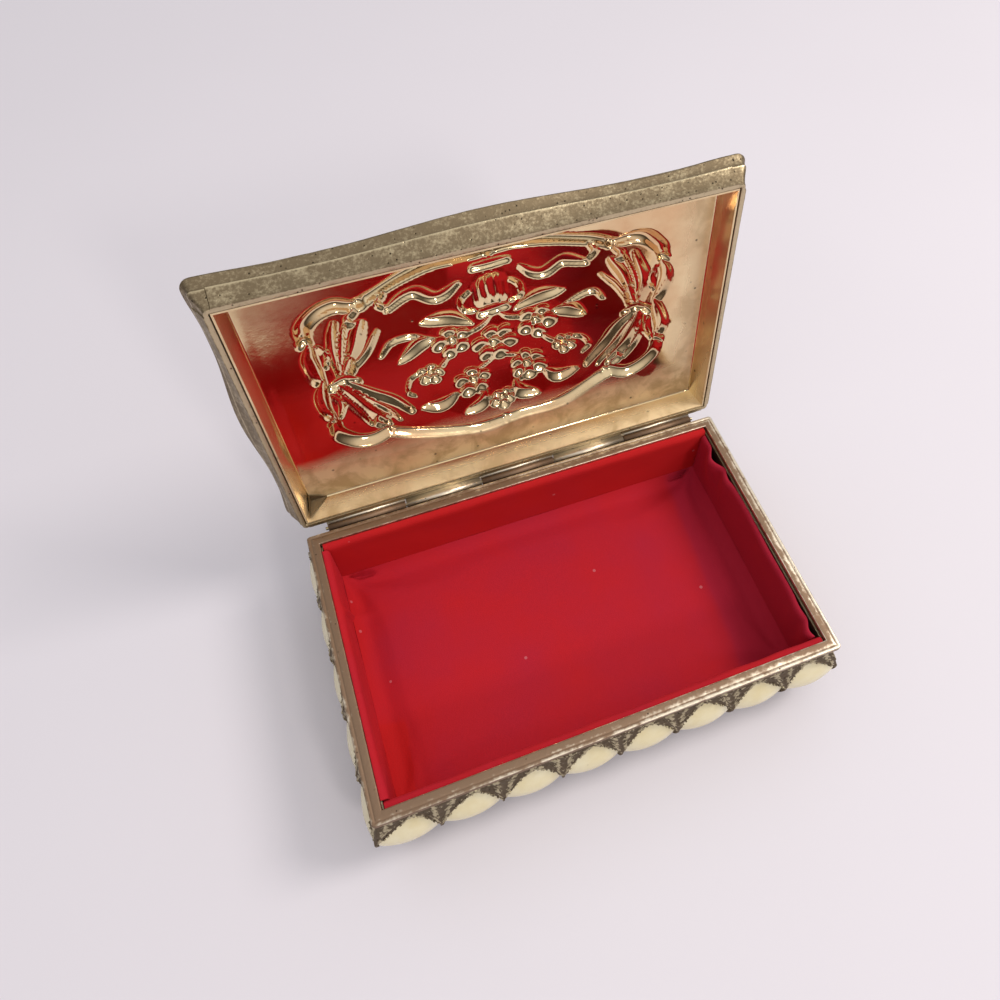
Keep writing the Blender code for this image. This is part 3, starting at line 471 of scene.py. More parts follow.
def fired_enamel():
    """Opaque glass enamel, poured and fired: glossy cream with faint clouds and dark specks. The
    attribute worn says where grime has settled along its arched edge."""
    enamel = bpy.context.scene.trinket_box_colours.enamel
    gloss = {"Roughness": 0.25, "IOR": 1.52, "Coat_Weight": 0.4, "Coat_Roughness": 0.1}
    material, shader, add, place = new_material("Fired Cream Enamel", **gloss)
    cloud = {"Vector": place, "Scale": 1 / (7 * MM), "Detail": 4.0, "Roughness": 0.6}
    cloud = add("TexNoise", cloud)
    share = add("MapRange", {"Value": cloud, "From Min": 0.35, "From Max": 0.7})
    warm = opaque(enamel, (0.92, 0.87, 0.72))
    tone = add("Mix", {SHARE: share, FIRST: opaque(enamel), SECOND: warm}, **MIX_COLOUR)
    worn = add("Attribute", output="Fac", attribute_name="worn")
    grit = {"Vector": place, "Scale": 1 / (0.8 * MM), "Detail": 4.0, "Roughness": 0.7}
    grime = add("Math", {0: worn, 1: add("TexNoise", grit)}, operation="MULTIPLY")
    grime = add("MapRange", {"Value": grime, "From Min": 0.28, "From Max": 0.5})
    brown = opaque(linear_colour("#6E6246"))
    tone = add("Mix", {SHARE: grime, FIRST: tone, SECOND: brown}, **MIX_COLOUR)
    speck = pits(add, place, 1.3 * MM, 0.03)
    tone = add("Mix", {SHARE: speck, FIRST: tone, SECOND: opaque(enamel, 0.25)}, **MIX_COLOUR)
    link(tone, shader, "Base Color")
    link(add("Bump", {"Height": cloud, "Distance": 0.15 * MM, "Strength": 1.0}), shader, "Normal")
    return material


def velvet_pile():
    """Short cotton velvet glued on card: matt, with sheen along its folds and specks of lint. The
    attribute worn holds painted shade and painted light. It sets how much of the painted shade
    colour the pile takes: most on the floor's right and on the right strip, where the right wall's
    shadow falls, and least at the floor's left, on its flap and on the back strip, which are
    painted lighter. The real pile is 0.1 mm thick, too fine to show, so it is drawn at 0.3 mm."""
    colours = bpy.context.scene.trinket_box_colours
    sheen = {"Sheen_Weight": 0.34, "Sheen_Roughness": 0.35}
    pile = {"Roughness": 0.85, "Specular_IOR_Level": 0.15, **sheen}
    material, shader, add, place = new_material("Red Velvet", **pile)
    shader.inputs["Sheen Tint"].default_value = opaque(linear_colour("#E03A44"))
    painted_shade = add("Attribute", output="Fac", attribute_name="worn")
    cloud = {"Vector": place, "Scale": 1 / (18 * MM), "Detail": 3.0, "Roughness": 0.5}
    # Painted shade and light: the attribute, with random clouds, sets how much of the painted shade
    # colour is mixed in.
    share = add("Math", {0: add("TexNoise", cloud), 1: 0.8, 2: painted_shade}, operation="MULTIPLY_ADD")
    share = add("MapRange", {"Value": share, "From Min": 0.4, "From Max": 1.2})
    tone = {SHARE: share, FIRST: opaque(colours.velvet), SECOND: opaque(colours.velvet_painted_shade)}
    tone = add("Mix", tone, **MIX_COLOUR)
    lint = pits(add, place, 4.5 * MM, 0.12)
    lint = add("MapRange", {"Value": lint, "From Min": 0.98, "From Max": 1.0, "To Max": 0.4})
    pale = opaque(linear_colour("#D08890"))
    tone = add("Mix", {SHARE: lint, FIRST: tone, SECOND: pale}, **MIX_COLOUR)
    link(tone, shader, "Base Color")
    fibre = {"Vector": place, "Scale": 1 / (0.3 * MM), "Detail": 3.0, "Roughness": 0.7}
    fibre = add("TexNoise", fibre)
    link(add("Bump", {"Height": fibre, "Distance": 0.06 * MM, "Strength": 1.0}), shader, "Normal")
    return material


def drawn_wire():
    """Steel wire, drawn and brass-plated, worn in rings where the knuckles turn on it."""
    material, shader, add, place = new_material("Plated Wire", Metallic=1.0, Roughness=0.3)
    rings = {"Vector": place, "Scale": 1 / (0.8 * MM), "Distortion": 1.5}
    rings = add("TexWave", rings, output="Fac", bands_direction="X")
    steel, brass = (opaque(linear_colour(code)) for code in ("#8E8268", "#CFC29C"))
    tone = add("Mix", {SHARE: rings, FIRST: steel, SECOND: brass}, **MIX_COLOUR)
    link(tone, shader, "Base Color")
    return material


# Each finish: the record's slot that it belongs to, what makes it and with which values. A
# casting's values are its colours, its name, the size of its patches, the share of pits, the wear
# that starts to shine and roughness
CAST = "tarnished_cast_metal"
FINISHES = {
    # Dark granular florets whose ridges are rubbed
    "wall": (CAST, cast_alloy, ("wall", "Cast Alloy, Wall", 2.5 * MM, 0.3, 0.88, 0.5)),
    # Drawn strip, plated: brown and even, bright along both edges
    "rim": (CAST, cast_alloy, ("rim", "Plated Strip, Rim", 6 * MM, 0.05, 0.95, 0.46)),
    # Gilt, mottled with olive tarnish
    "lid": (CAST, cast_alloy, ("lid", "Cast Alloy, Lid", 3.5 * MM, 0.16, 0.85, 0.42)),
    "sheet": ("polished_brass_sheet", brass_sheet, ()),
    "enamel": ("cream_enamel", fired_enamel, ()),
    "velvet": ("red_velvet", velvet_pile, ()),
    "wire": ("plated_wire", drawn_wire, ()),
}
made_finishes = {}


def material_for(finish):
    """A finish's material, which is made the first time that it is asked for."""
    if finish not in made_finishes:
        _, make, values = FINISHES[finish]
        made_finishes[finish] = make(*values)
    return made_finishes[finish]


def mark_worn(shape):
    """The layer that holds how worn each point is. On the velvet, the hinge's lid leaf, the wall's
    inside face and the rim's right side it also holds painted light and shade.
    """
    return shape.verts.layers.float.get("worn") or shape.verts.layers.float.new("worn")


def new_mesh(name, shape):
    """A mesh from a shape, which is then let go."""
    mesh = bpy.data.meshes.new(name)
    shape.to_mesh(mesh)
    shape.free()
    return mesh


def new_object(name, data):
    """An object in the scene, of a mesh, light or camera."""
    made = bpy.data.objects.new(name, data)
    bpy.context.scene.collection.objects.link(made)
    return made


def finish_piece(name, shape, finish, body, nodes=(), sharp_degrees=35):
    """Makes a piece from a shape drawn in the case's frame with the lid shut, in its place at
    rest."""
    mark_worn(shape)
    bmesh.ops.transform(shape, matrix=PLACES[body], verts=shape.verts)
    mesh = new_mesh(name, shape)
    mesh.shade_smooth()
    mesh.set_sharp_from_angle(angle=math.radians(sharp_degrees))
    mesh.materials.append(material_for(finish))
    piece = new_object(name, mesh)
    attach(piece, body)
    if nodes:
        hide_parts(*nodes)
    return piece


def loft(rings, worn):
    """Lays a grid's rows on rings of equal length, closed round and along. worn holds a share for
    each point."""
    count = len(rings[0])
    skin = bmesh.new()
    layer = mark_worn(skin)
    bmesh.ops.create_grid(skin, x_segments=count, y_segments=len(rings), size=0.5)
    for vertex in skin.verts:
        column = round((vertex.co.x + 0.5) * count) % count
        row = round((vertex.co.y + 0.5) * len(rings)) % len(rings)
        vertex.co = rings[row][column]
        vertex[layer] = worn[row][column]
    bmesh.ops.remove_doubles(skin, verts=skin.verts, dist=1e-7)
    bmesh.ops.recalc_face_normals(skin, faces=skin.faces)
    return skin


def new_verts(made):
    """The vertices in what a mesh operator made."""
    return [item for item in made["geom"] if isinstance(item, bmesh.types.BMVert)]


def slab(columns, rows):
    """A grid from -1 to 1 with an upper face at a height of 1, for a piece that bends it to its own
    shape."""
    block = bmesh.new()
    bmesh.ops.create_grid(block, x_segments=columns, y_segments=rows, size=1.0)
    raised = bmesh.ops.extrude_face_region(block, geom=block.faces[:], use_keep_orig=True)
    bmesh.ops.translate(block, vec=(0, 0, 1), verts=new_verts(raised))
    return block


def face_outwards(shape):
    """Turns a closed shape's faces outwards."""
    bmesh.ops.recalc_face_normals(shape, faces=shape.faces)
    return shape


def clamp(share):
    """A share kept from 0 to 1."""
    return max(0.0, min(1.0, share))


def smooth(share):
    """Eases from 0 to 1 as share goes from 0 to 1."""
    share = clamp(share)
    return share * share * (3 - 2 * share)


def hump(value, middle, width):
    """1 at the middle, falling smoothly to 0 at a width from it."""
    return smooth(1 - abs(value - middle) / width)


def lerp(first, last, share):
    """A value between two."""
    return first + (last - first) * share


def at_height(flat, height):
    """A point above the ground from one on plan."""
    return Vector((flat.x, flat.y, height))


def side_sizes(side):
    """Half the side's length, how far it stands from the middle, and its number of scallops."""
    if side % 2 == 0:
        return HALF_WIDTH, HALF_DEPTH, FRONT_SCALLOPS
    return HALF_DEPTH, HALF_WIDTH, SIDE_SCALLOPS


def scallop_pitch(side):
    """The width of one scallop where the wall is widest."""
    half_along, _, scallops = side_sizes(side)
    return 2 * (half_along + WALL_SWELL) / scallops


def wall_profile(drop):
    """How far the wall's corner line stands outside the rim's edge."""
    if drop < WALL_SWELL_DROP:
        share = smooth((drop - WALL_TOP_DROP) / (WALL_SWELL_DROP - WALL_TOP_DROP))
        return -WALL_TOP_INSET + (WALL_SWELL + WALL_TOP_INSET) * share
    share = smooth((drop - WALL_SWELL_DROP) / (WALL_FOOT_DROP - WALL_SWELL_DROP))
    return WALL_SWELL - (WALL_SWELL + WALL_FOOT_INSET) * share


def cell_floor(across, drop):
    """How far a cell's floor stands outside the corner line. across runs from -1 to 1 over a
    scallop."""
    if drop < CREST_DROP:
        share = smooth((drop - ARCH_DROP) / (CREST_DROP - ARCH_DROP))
    else:
        share = math.cos(SCALLOP_TUCK * min(1.0, (drop - CREST_DROP) / (PLINTH_DROP - CREST_DROP)))
    return SCALLOP_BULGE * share * (1 - across * across) - ENAMEL_RECESS


def crest_raise(drop):
    """How far the florets, ribs and plinth stand outside the corner line."""
    if drop < NOTCH_DROP:
        return FLORET_RAISE * smooth((drop - WALL_TOP_DROP) / FLORET_SHOULDER)
    share = smooth((drop - NOTCH_DROP) / (PLINTH_DROP - NOTCH_DROP))
    return FLORET_RAISE + (PLINTH_RAISE - FLORET_RAISE) * share


def arch_drop(across):
    """The drop of a scallop's arched upper edge."""
    return ARCH_DROP + ARCH_HEIGHT * abs(across) ** ARCH_POWER


def wall_point(side, position, drop, extra):
    """A point of the wall. position is -1 to 1 along the side, extra stands out from the corner
    line."""
    _, tangent, normal = SIDES[side]
    half_along, half_out, _ = side_sizes(side)
    corner = wall_profile(drop)
    along = position * (half_along + corner)
    if abs(position) == 1:
        along += position * extra
    return at_height(tangent * along + normal * (half_out + corner + extra), CASE_HEIGHT - drop)


def cell_edge(side, gap=0.0):
    """How far a cell reaches across its scallop, from 0 to 1, less a gap."""
    return 1 - (RIB_WIDTH + gap) / scallop_pitch(side)


def scallop_place(side, scallop, across):
    """The position along a side, from -1 to 1, of a place across one of its scallops."""
    return -1 + (2 * scallop + 1 + across) / side_sizes(side)[2]


def wall_columns(side):
    """The columns along a side: position on the side, place across the scallop, whether in a
    cell."""
    edge = cell_edge(side)
    places = [(-1.0, False), (-edge, False)]
    places += [(edge * (2 * step / CELL_COLUMNS - 1), True) for step in range(CELL_COLUMNS + 1)]
    places.append((edge, False))
    for scallop in range(side_sizes(side)[2]):
        for across, in_cell in places:
            yield scallop_place(side, scallop, across), across, in_cell


def floret_relief(side, position, across, drop):
    """A floret's height and wear: a fan of barbed veins with a spine, over the notch between two
    arches."""
    beside = (1 - abs(across)) * scallop_pitch(side) / 2
    above = max(0.0, NOTCH_DROP + FLORET_ROOT - drop)
    turn = math.atan2(beside, above + 0.2 * MM)
    veins = 0.5 - 0.5 * math.cos(turn * FLORET_VEINS)
    reach = math.hypot(beside, above) + beside * 0.6
    barbs = 0.5 + 0.5 * math.cos(math.tau * reach / FLORET_BARB)
    spine = max(0.0, 1 - (beside / (0.18 * above + 0.1 * MM)) ** 2)
    place = wall_point(side, position, drop, 0) / GRAIN_SIZE
    grain = noise.noise(place) + 0.5 * noise.noise(place * 2.3)
    fan = VEIN_RISE * veins * (0.5 + 0.5 * barbs) + GRAIN_RISE * grain
    start = smooth((drop - WALL_TOP_DROP - FLORET_MARGIN) / FLORET_FADE)
    return start * (fan + SPINE_RISE * spine), clamp(1.7 * fan - 0.3)


def corner_leaf(side, position, drop, extra):
    """How far the wall stands out near a corner: the florets sink away there under a leaf that
    wraps it."""
    beside = (1 - abs(position)) * side_sizes(side)[0] / CORNER_LEAF_WIDTH
    bow = math.sin(math.pi * clamp((drop - ARCH_DROP) / (1.5 * ARCH_HEIGHT)))
    return CORNER_LEAF_OUT * max(0.0, 1 - beside**2) * bow + extra * smooth(beside)


def wall_ring(drop_of, zone):
    """A ring round the wall at the drop that drop_of gives across a scallop, with how worn each
    point is. The inside face is painted light."""
    ring, worn = [], []
    depth = bpy.context.scene.trinket_box_sizes.floret_depth
    inner = -ENAMEL_RECESS - WALL_THICKNESS
    for side in range(len(SIDES)):
        for position, across, in_cell in wall_columns(side):
            drop = drop_of(across)
            extra, wear_and_light = corner_leaf(side, position, drop, crest_raise(drop)), 0.1
            if zone == "inner":
                # The inside face lies in shade; it is painted light, drawn as bright rubbed metal.
                extra, wear_and_light = inner, 0.9
            elif zone == "ledge":
                extra = inner - LEDGE_WIDTH
            elif zone == "cell" and in_cell:
                extra, wear_and_light = cell_floor(across, drop), 0.0
            elif zone == "floret":
                relief, wear_and_light = floret_relief(side, position, across, drop)
                extra += depth * (relief - FLORET_MEAN)
            ring.append(wall_point(side, position, drop, extra))
            worn.append(wear_and_light)
    return ring, worn


def same_drop(drop):
    """What gives the same drop all across a scallop."""
    return lambda across: drop


def wall_rings():
    """The wall's rings: down its outside, under it and up its inside."""
    ledge = WALL_FOOT_DROP - LEDGE_THICKNESS
    for zone, rows, first, last in (
        ("floret", FLORET_ROWS, same_drop(WALL_TOP_DROP), arch_drop),
        ("cell", CELL_ROWS, lambda across: arch_drop(across) + CELL_STEP, same_drop(PLINTH_DROP)),
        ("plinth", PLINTH_ROWS, same_drop(PLINTH_DROP + CELL_STEP), same_drop(WALL_FOOT_DROP)),
        ("ledge", 1, same_drop(WALL_FOOT_DROP), same_drop(ledge)),
        ("inner", INNER_ROWS, same_drop(ledge), same_drop(WALL_TOP_DROP)),
    ):
        for row in range(rows + 1):
            yield wall_ring(lambda across: lerp(first(across), last(across), row / rows), zone)


def arch_beads():
    """Beads of cast grain along the arches."""
    beads = bmesh.new()
    layer = mark_worn(beads)
    draw = random.Random(4)
    for side in range(len(SIDES)):
        for scallop, bead in product(range(side_sizes(side)[2]), range(ARCH_BEADS)):
            across = cell_edge(side) * (2 * (bead + draw.uniform(0.2, 0.8)) / ARCH_BEADS - 1)
            drop = arch_drop(across) + draw.uniform(-0.15, 0.25) * MM
            position = scallop_place(side, scallop, across)
            extra = corner_leaf(side, position, drop, crest_raise(drop)) - ARCH_BEAD_SINK
            place = Matrix.Translation(wall_point(side, position, drop, extra))
            radius = ARCH_BEAD_RADIUS * draw.uniform(0.7, 1.5)
            made = bmesh.ops.create_icosphere(beads, subdivisions=1, radius=radius, matrix=place)
            for vertex in made["verts"]:
                vertex[layer] = 0.7 * draw.random()
    return beads


class TRINKETBOX_OT_wall(bpy.types.Operator):
    """Cast wall with its florets, ribs and the beads along its arches"""

    bl_idname = "trinket_box.wall"
    bl_label = "Cast Wall"

    def execute(self, context):
        rings, worn = zip(*wall_rings())
        finish_piece("cast_wall", loft(rings, worn), "wall", "case", ["scalloped_wall"], 60)
        finish_piece("arch_beads", arch_beads(), "wall", "case", sharp_degrees=80)
        return {"FINISHED"}


def enamel_pillow(side, scallop):
    """The enamel in one cell: fuller in the middle, with grime in along its edge."""
    edge = cell_edge(side, SEAT_GAP)
    pillow = slab(ENAMEL_COLUMNS, ENAMEL_ROWS)
    layer = mark_worn(pillow)
    for vertex in pillow.verts:
        x, y, upper = vertex.co
        across = edge * math.sin(x * math.pi / 2)
        first = arch_drop(across) + CELL_STEP + ENAMEL_GAP
        share = (1 - math.cos(math.pi * (y + 1) / 2)) / 2
        drop = lerp(first, PLINTH_DROP - SEAT_GAP / 2, share)
        thin = max(abs(x) ** 12, abs(y) ** 10)
        lift = SEAT_GAP + upper * ENAMEL_THICKNESS * (1 - 0.6 * thin)
        vertex[layer] = max(smooth(1 - share * 12), smooth((abs(across) - 0.9) / 0.1) * 0.8)
        position = scallop_place(side, scallop, across)
        vertex.co = wall_point(side, position, drop, cell_floor(across, drop) + lift)
    return face_outwards(pillow)


class TRINKETBOX_OT_enamel(bpy.types.Operator):
    """Cream enamel poured into each scallop's cell"""

    bl_idname = "trinket_box.enamel"
    bl_label = "Enamel"

    def execute(self, context):
        for side, (side_name, _, _) in enumerate(SIDES):
            for scallop in range(side_sizes(side)[2]):
                cell = f"{side_name}_{scallop + 1}"
                pillow = enamel_pillow(side, scallop)
                finish_piece(f"fill_{cell}", pillow, "enamel", "case", [f"enamel_{cell}"], 70)
        return {"FINISHED"}


def corner_arc(centre, tangent, normal, radius):
    """The points within a rounded corner, from the side it leaves to the next one."""
    arc = []
    for step in range(1, CORNER_STEPS):
        turn = math.pi / 2 * step / CORNER_STEPS
        arc.append(centre + radius * (normal * math.cos(turn) + tangent * math.sin(turn)))
    return arc


def rounded_ring(half_x, half_y, radius, height):
    """A rectangle with round corners at a height, with points along its sides."""
    ring = []
    for side, (_, tangent, normal) in enumerate(SIDES):
        along, out = (half_x, half_y) if side % 2 == 0 else (half_y, half_x)
        reach = along - radius
        places = (2 * step / RIM_STEPS - 1 for step in range(RIM_STEPS + 1))
        ring += [tangent * reach * place + normal * out for place in places]
        ring += corner_arc(tangent * reach + normal * (out - radius), tangent, normal, radius)
    return [at_height(flat, height) for flat in ring]


def rim_wear_and_light(point, wear_and_light):
    """How worn a point of the rim is, along its edges and in flakes, with painted light added: it
    is drawn brighter towards the right, where the light falls."""
    painted_light_right = smooth((point.x + HALF_WIDTH) / (1.6 * HALF_WIDTH))
    flake = 0.5 + noise.noise(point / RIM_FLAKE) + 0.5 * noise.noise(point / RIM_FLECK)
    return wear_and_light * (0.35 + 0.3 * painted_light_right + flake * (0.3 + 0.4 * painted_light_right)) + 0.12 * painted_light_right


class TRINKETBOX_OT_rim(bpy.types.Operator):
    """Flat rim strip with a rolled outer edge, a little dented"""

    bl_idname = "trinket_box.rim"
    bl_label = "Rim Strip"

    def execute(self, context):
        rings, worn = [], []
        for inset, height, wear_and_light in RIM_SECTION:
            inset *= MM
            radius = max(RIM_INNER_RADIUS, RIM_CORNER_RADIUS - inset)
            sizes = HALF_WIDTH - inset, HALF_DEPTH - inset, radius
            ring = rounded_ring(*sizes, CASE_HEIGHT + height * MM)
            for point in ring:
                if -1.0 < height < 0:
                    point.z -= RIM_WOBBLE * (0.5 + noise.noise(point / RIM_WOBBLE_LENGTH))
            rings.append(ring)
            worn.append([rim_wear_and_light(point, wear_and_light) for point in ring])
        finish_piece("rim_strip", loft(rings, worn), "rim", "case", ["rim_frame"], 50)
        return {"FINISHED"}


def leaf_path(rolled, rise):
    """The way round the axis, across and up from it, of one stretch of a hinge leaf: a flat strip,
    and then a knuckle where it is rolled, or else an edge that bends round the other leaf's
    knuckle."""
    curl = KNUCKLE_RADIUS - LEAF_THICKNESS / 2
    hug = KNUCKLE_RADIUS + LEAF_THICKNESS / 2 + HUG_GAP
    clear = math.acos(curl / hug)
    way = math.copysign(1, rise)
    if rolled:
        radius, near = curl, 0.0
        whole = way * math.radians(CURL_DEGREES)
        turns = [math.pi + whole * step / CURL_STEPS for step in range(1, CURL_STEPS + 1)]
    else:
        radius, near = hug, way * hug * math.sin(clear)
        shares = [step / LEAF_STEPS for step in range(1, LEAF_STEPS + 1)]
        turns = [way * (math.pi - lerp(clear, math.pi / 2, share)) for share in shares]
    strip = [(-curl, lerp(rise, near, step / LEAF_STEPS)) for step in range(LEAF_STEPS + 1)]
    return strip + [(radius * math.cos(turn), radius * math.sin(turn)) for turn in turns]


def rolled_leaf(knuckles, rise, wear_and_light):
    """A hinge leaf of thin sheet: a strip up or down from the axis, with its knuckles rolled round
    the wire. No light shows through beside them."""
    pitch = HINGE_LENGTH / KNUCKLES
    leaf = bmesh.new()
    for knuckle in range(KNUCKLES):
        rolled = knuckle in knuckles
        gap = KNUCKLE_GAP / 2 if rolled else 0.0
        first = HINGE_AXIS + Vector((knuckle * pitch - HINGE_LENGTH / 2 + gap, 0, 0))
        verts = [leaf.verts.new(first + Vector((0, y, z))) for y, z in leaf_path(rolled, rise)]
        edges = [leaf.edges.new(pair) for pair in zip(verts, verts[1:])]
        ends = new_verts(bmesh.ops.extrude_edge_only(leaf, edges=edges))
        bmesh.ops.translate(leaf, vec=(pitch - 2 * gap, 0, 0), verts=ends)
    layer = mark_worn(leaf)
    for vertex in leaf.verts:
        vertex[layer] = wear_and_light
    return face_outwards(leaf)


class TRINKETBOX_OT_hinge(bpy.types.Operator):
    """Two hinge leaves rolled round a wire"""

    bl_idname = "trinket_box.hinge"
    bl_label = "Hinge"

    def execute(self, context):
        for name, knuckles, rise, wear_and_light, body, node in (
            ("case_leaf", (0, 2, 4), -LEAF_HEIGHT, 0.15, "case", "hinge_leaf_case"),
            # The lid leaf's 0.8 is a painted highlight along its knuckles; the case leaf's 0.15 is
            # wear.
            ("lid_leaf", (1, 3), LEAF_HEIGHT, 0.8, "lid", "hinge_leaf_lid"),
        ):
            piece = finish_piece(name, rolled_leaf(knuckles, rise, wear_and_light), "rim", body, [node], 50)
            sheet = piece.modifiers.new("sheet", "SOLIDIFY")
            sheet.thickness = LEAF_THICKNESS
            sheet.offset = 0.0
        low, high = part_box("hinge_pin")
        wire = bmesh.new()
        size = {"radius1": WIRE_RADIUS, "radius2": WIRE_RADIUS, "depth": high.x - low.x}
        bmesh.ops.create_cone(wire, cap_ends=True, segments=WIRE_SEGMENTS, **size)
        bmesh.ops.rotate(wire, matrix=Matrix.Rotation(math.pi / 2, 3, "Y"), verts=wire.verts)
        bmesh.ops.translate(wire, vec=HINGE_AXIS, verts=wire.verts)
        ends = [edge for edge in wire.edges if abs(edge.verts[0].co.x - edge.verts[1].co.x) < 1e-6]
        rounding = {"offset": WIRE_END_RADIUS, "offset_type": "OFFSET"}
        bmesh.ops.bevel(
            wire, geom=ends, affect="EDGES", segments=3, profile=0.5, material=-1, **rounding
        )
        finish_piece("hinge_wire", wire, "wire", "case", ["hinge_pin"])
        return {"FINISHED"}


def lid_overhang(side, position, flare, rear_flare):
    """How far the lid stands outside the rim's line: most at the middle of a side and at its
    corners."""
    if side == BACK:
        return LID_REAR_OVERHANG * rear_flare
    reach = abs(position)
    middle = (1 + math.cos(math.pi * min(1.0, reach / LID_CENTRE_REACH))) / 2
    corner = smooth((reach - LID_CORNER_REACH) / (1 - LID_CORNER_REACH))
    return flare * (LID_OVERHANG + LID_CENTRE_SWELL * middle + LID_CORNER_SWELL * corner)


def places_along(start, end, stop):
    """Places along a side of the lid, with two close together at each end of the raised band."""
    places = []
    for first, last, steps in (
        (-start, -stop - LID_BAND_EDGE, LID_END_STEPS),
        (LID_BAND_EDGE - stop, stop - LID_BAND_EDGE, LID_STEPS),
        (stop + LID_BAND_EDGE, end, LID_END_STEPS),
    ):
        places += [lerp(first, last, step / steps) for step in range(steps + 1)]
    return places


def lid_ring(setback, height, radius, flare=0.0, rear_flare=0.0, band=0.0):
    """A ring of the lid's border, with shares of the top edge's overhang at front and sides, and at
    the back. band raises the flat band along each side, which stops short of the corners."""
    ring = []
    for side, (_, tangent, normal) in enumerate(SIDES):
        half_along, half_out, _ = side_sizes(side)
        before, after = (side - 1) % len(SIDES), (side + 1) % len(SIDES)
        start = half_along + setback + lid_overhang(before, 1.0, flare, rear_flare) - radius
        end = half_along + setback + lid_overhang(after, -1.0, flare, rear_flare) - radius
        stop = min(half_along - LID_BAND_STOP, start - LID_BAND_ROOM, end - LID_BAND_ROOM)
        for along in places_along(start, end, stop):
            position = along / (start if along < 0 else end)
            out = half_out + setback + lid_overhang(side, position, flare, rear_flare)
            raised = band if abs(along) < stop else 0.0
            ring.append(tangent * along + normal * (out + raised))
        ring += corner_arc(tangent * end + normal * (out - radius), tangent, normal, radius)
    return [at_height(flat, LID_BASE + height) for flat in ring]


def border_sections():
    """The lid border's section, up its outside and back down its inside: ring sizes, and how worn
    each ring is."""
    crest = LID_EDGE_HEIGHT + LID_BORDER_RISE
    seat = PANEL_RECESS + PANEL_SHEET + SEAT_GAP
    flare = LID_SKIRT_FLARE / LID_OVERHANG
    narrow, wide = LID_SKIRT_CORNER_RADIUS, LID_CORNER_RADIUS
    top, band_top = LID_SKIRT_HEIGHT, LID_SKIRT_HEIGHT + LID_BAND_RIDGE
    yield (-LID_EDGE_THICKNESS, 0.05 * MM, LID_STEP), 0.5
    yield (-0.1 * MM, 0.0, narrow), 0.7
    for step in range(SKIRT_STEPS + 1):
        share = math.sin(step / SKIRT_STEPS * math.pi / 2)
        height = lerp(0.1 * MM, top, share)
        wear_and_light = 0.25 + 0.65 * share**40
        yield (0.0, height, narrow, flare * share**1.3, 0.0, LID_BAND_RAISE), wear_and_light
    yield (0.0, top + 0.12 * MM, narrow, flare, 0.0, LID_BAND_RAISE), 1.0
    yield (0.0, band_top, narrow, flare, 0.0), 0.1
    for step in range(1, FLARE_STEPS + 1):
        share = step / FLARE_STEPS
        height = lerp(band_top, LID_EDGE_HEIGHT - LID_STEP, share)
        radius = lerp(narrow, wide, share)
        yield (0.0, height, radius, lerp(flare, 0.995, share**1.4), share**1.4), 0.2
    yield (0.0, LID_EDGE_HEIGHT, wide, 0.99, 0.99), 0.5
    yield (0.0, LID_EDGE_HEIGHT + LID_STEP, wide, LID_CREST_FLARE, LID_CREST_FLARE), 0.5
    for step in range(1, CREST_STEPS + 1):
        share = step / CREST_STEPS
        height = lerp(LID_EDGE_HEIGHT + LID_STEP, crest, share**0.7)
        left = LID_CREST_FLARE * (1 - share)
        radius = lerp(wide, narrow, share)
        yield (-LID_BORDER_WIDTH * 0.7 * share, height, radius, left, left), 0.3
    yield (-LID_BORDER_WIDTH * 0.85, crest - 0.05 * MM, narrow), 0.6
    yield (-LID_BORDER_WIDTH, crest - LID_STEP, narrow), 0.6
    yield (-LID_BORDER_WIDTH, seat, narrow), 0.2
    yield (-LID_EDGE_THICKNESS - PANEL_WALL_SLOPE, seat, LID_STEP), 0.2


class TRINKETBOX_OT_lid_border(bpy.types.Operator):
    """Cast border of the lid, with a band along its skirt and a serpentine upper edge"""

    bl_idname = "trinket_box.lid_border"
    bl_label = "Lid Border"

    def execute(self, context):
        rings, worn = [], []
        for sizes, wear_and_light in border_sections():
            ring = lid_ring(*sizes)
            if len(sizes) > 3:
                for point in ring:
                    point.z -= (0.8 + noise.noise(point / LID_CASTING_GRAIN)) * LID_CASTING_WOBBLE
            rings.append(ring)
            worn.append([wear_and_light] * len(ring))
        finish_piece("lid_casting", loft(rings, worn), "lid", "lid", ["lid_border"], 32)
        return {"FINISHED"}


def smooth_path(path):
    """A curve through a path's points, as short straight runs."""
    points = [Vector(point) for point in path]
    if len(points) < 3:
        return points
    ends = [2 * points[0] - points[1], *points, 2 * points[-1] - points[-2]]
    fine = []
    for before, first, last, after in zip(ends, ends[1:], ends[2:], ends[3:]):
        for step in range(STROKE_STEPS):
            t = step / STROKE_STEPS
            bend = (2 * before - 5 * first + 4 * last - after) * t**2
            twist = (3 * first - before - 3 * last + after) * t**3
            fine.append((2 * first + (last - before) * t + bend + twist) / 2)
    return [*fine, points[-1]]


def hand_drawn(x, y):
    """Points moved a little, so that what is drawn over them has a chaser's uneven lines."""
    moved_x = x + 0.35 * np.sin(y / 3.1 + 1) + 0.2 * np.sin(x / 1.7 + y / 5)
    return moved_x, y + 0.35 * np.sin(x / 3.7) + 0.2 * np.sin(y / 1.9 - x / 4)


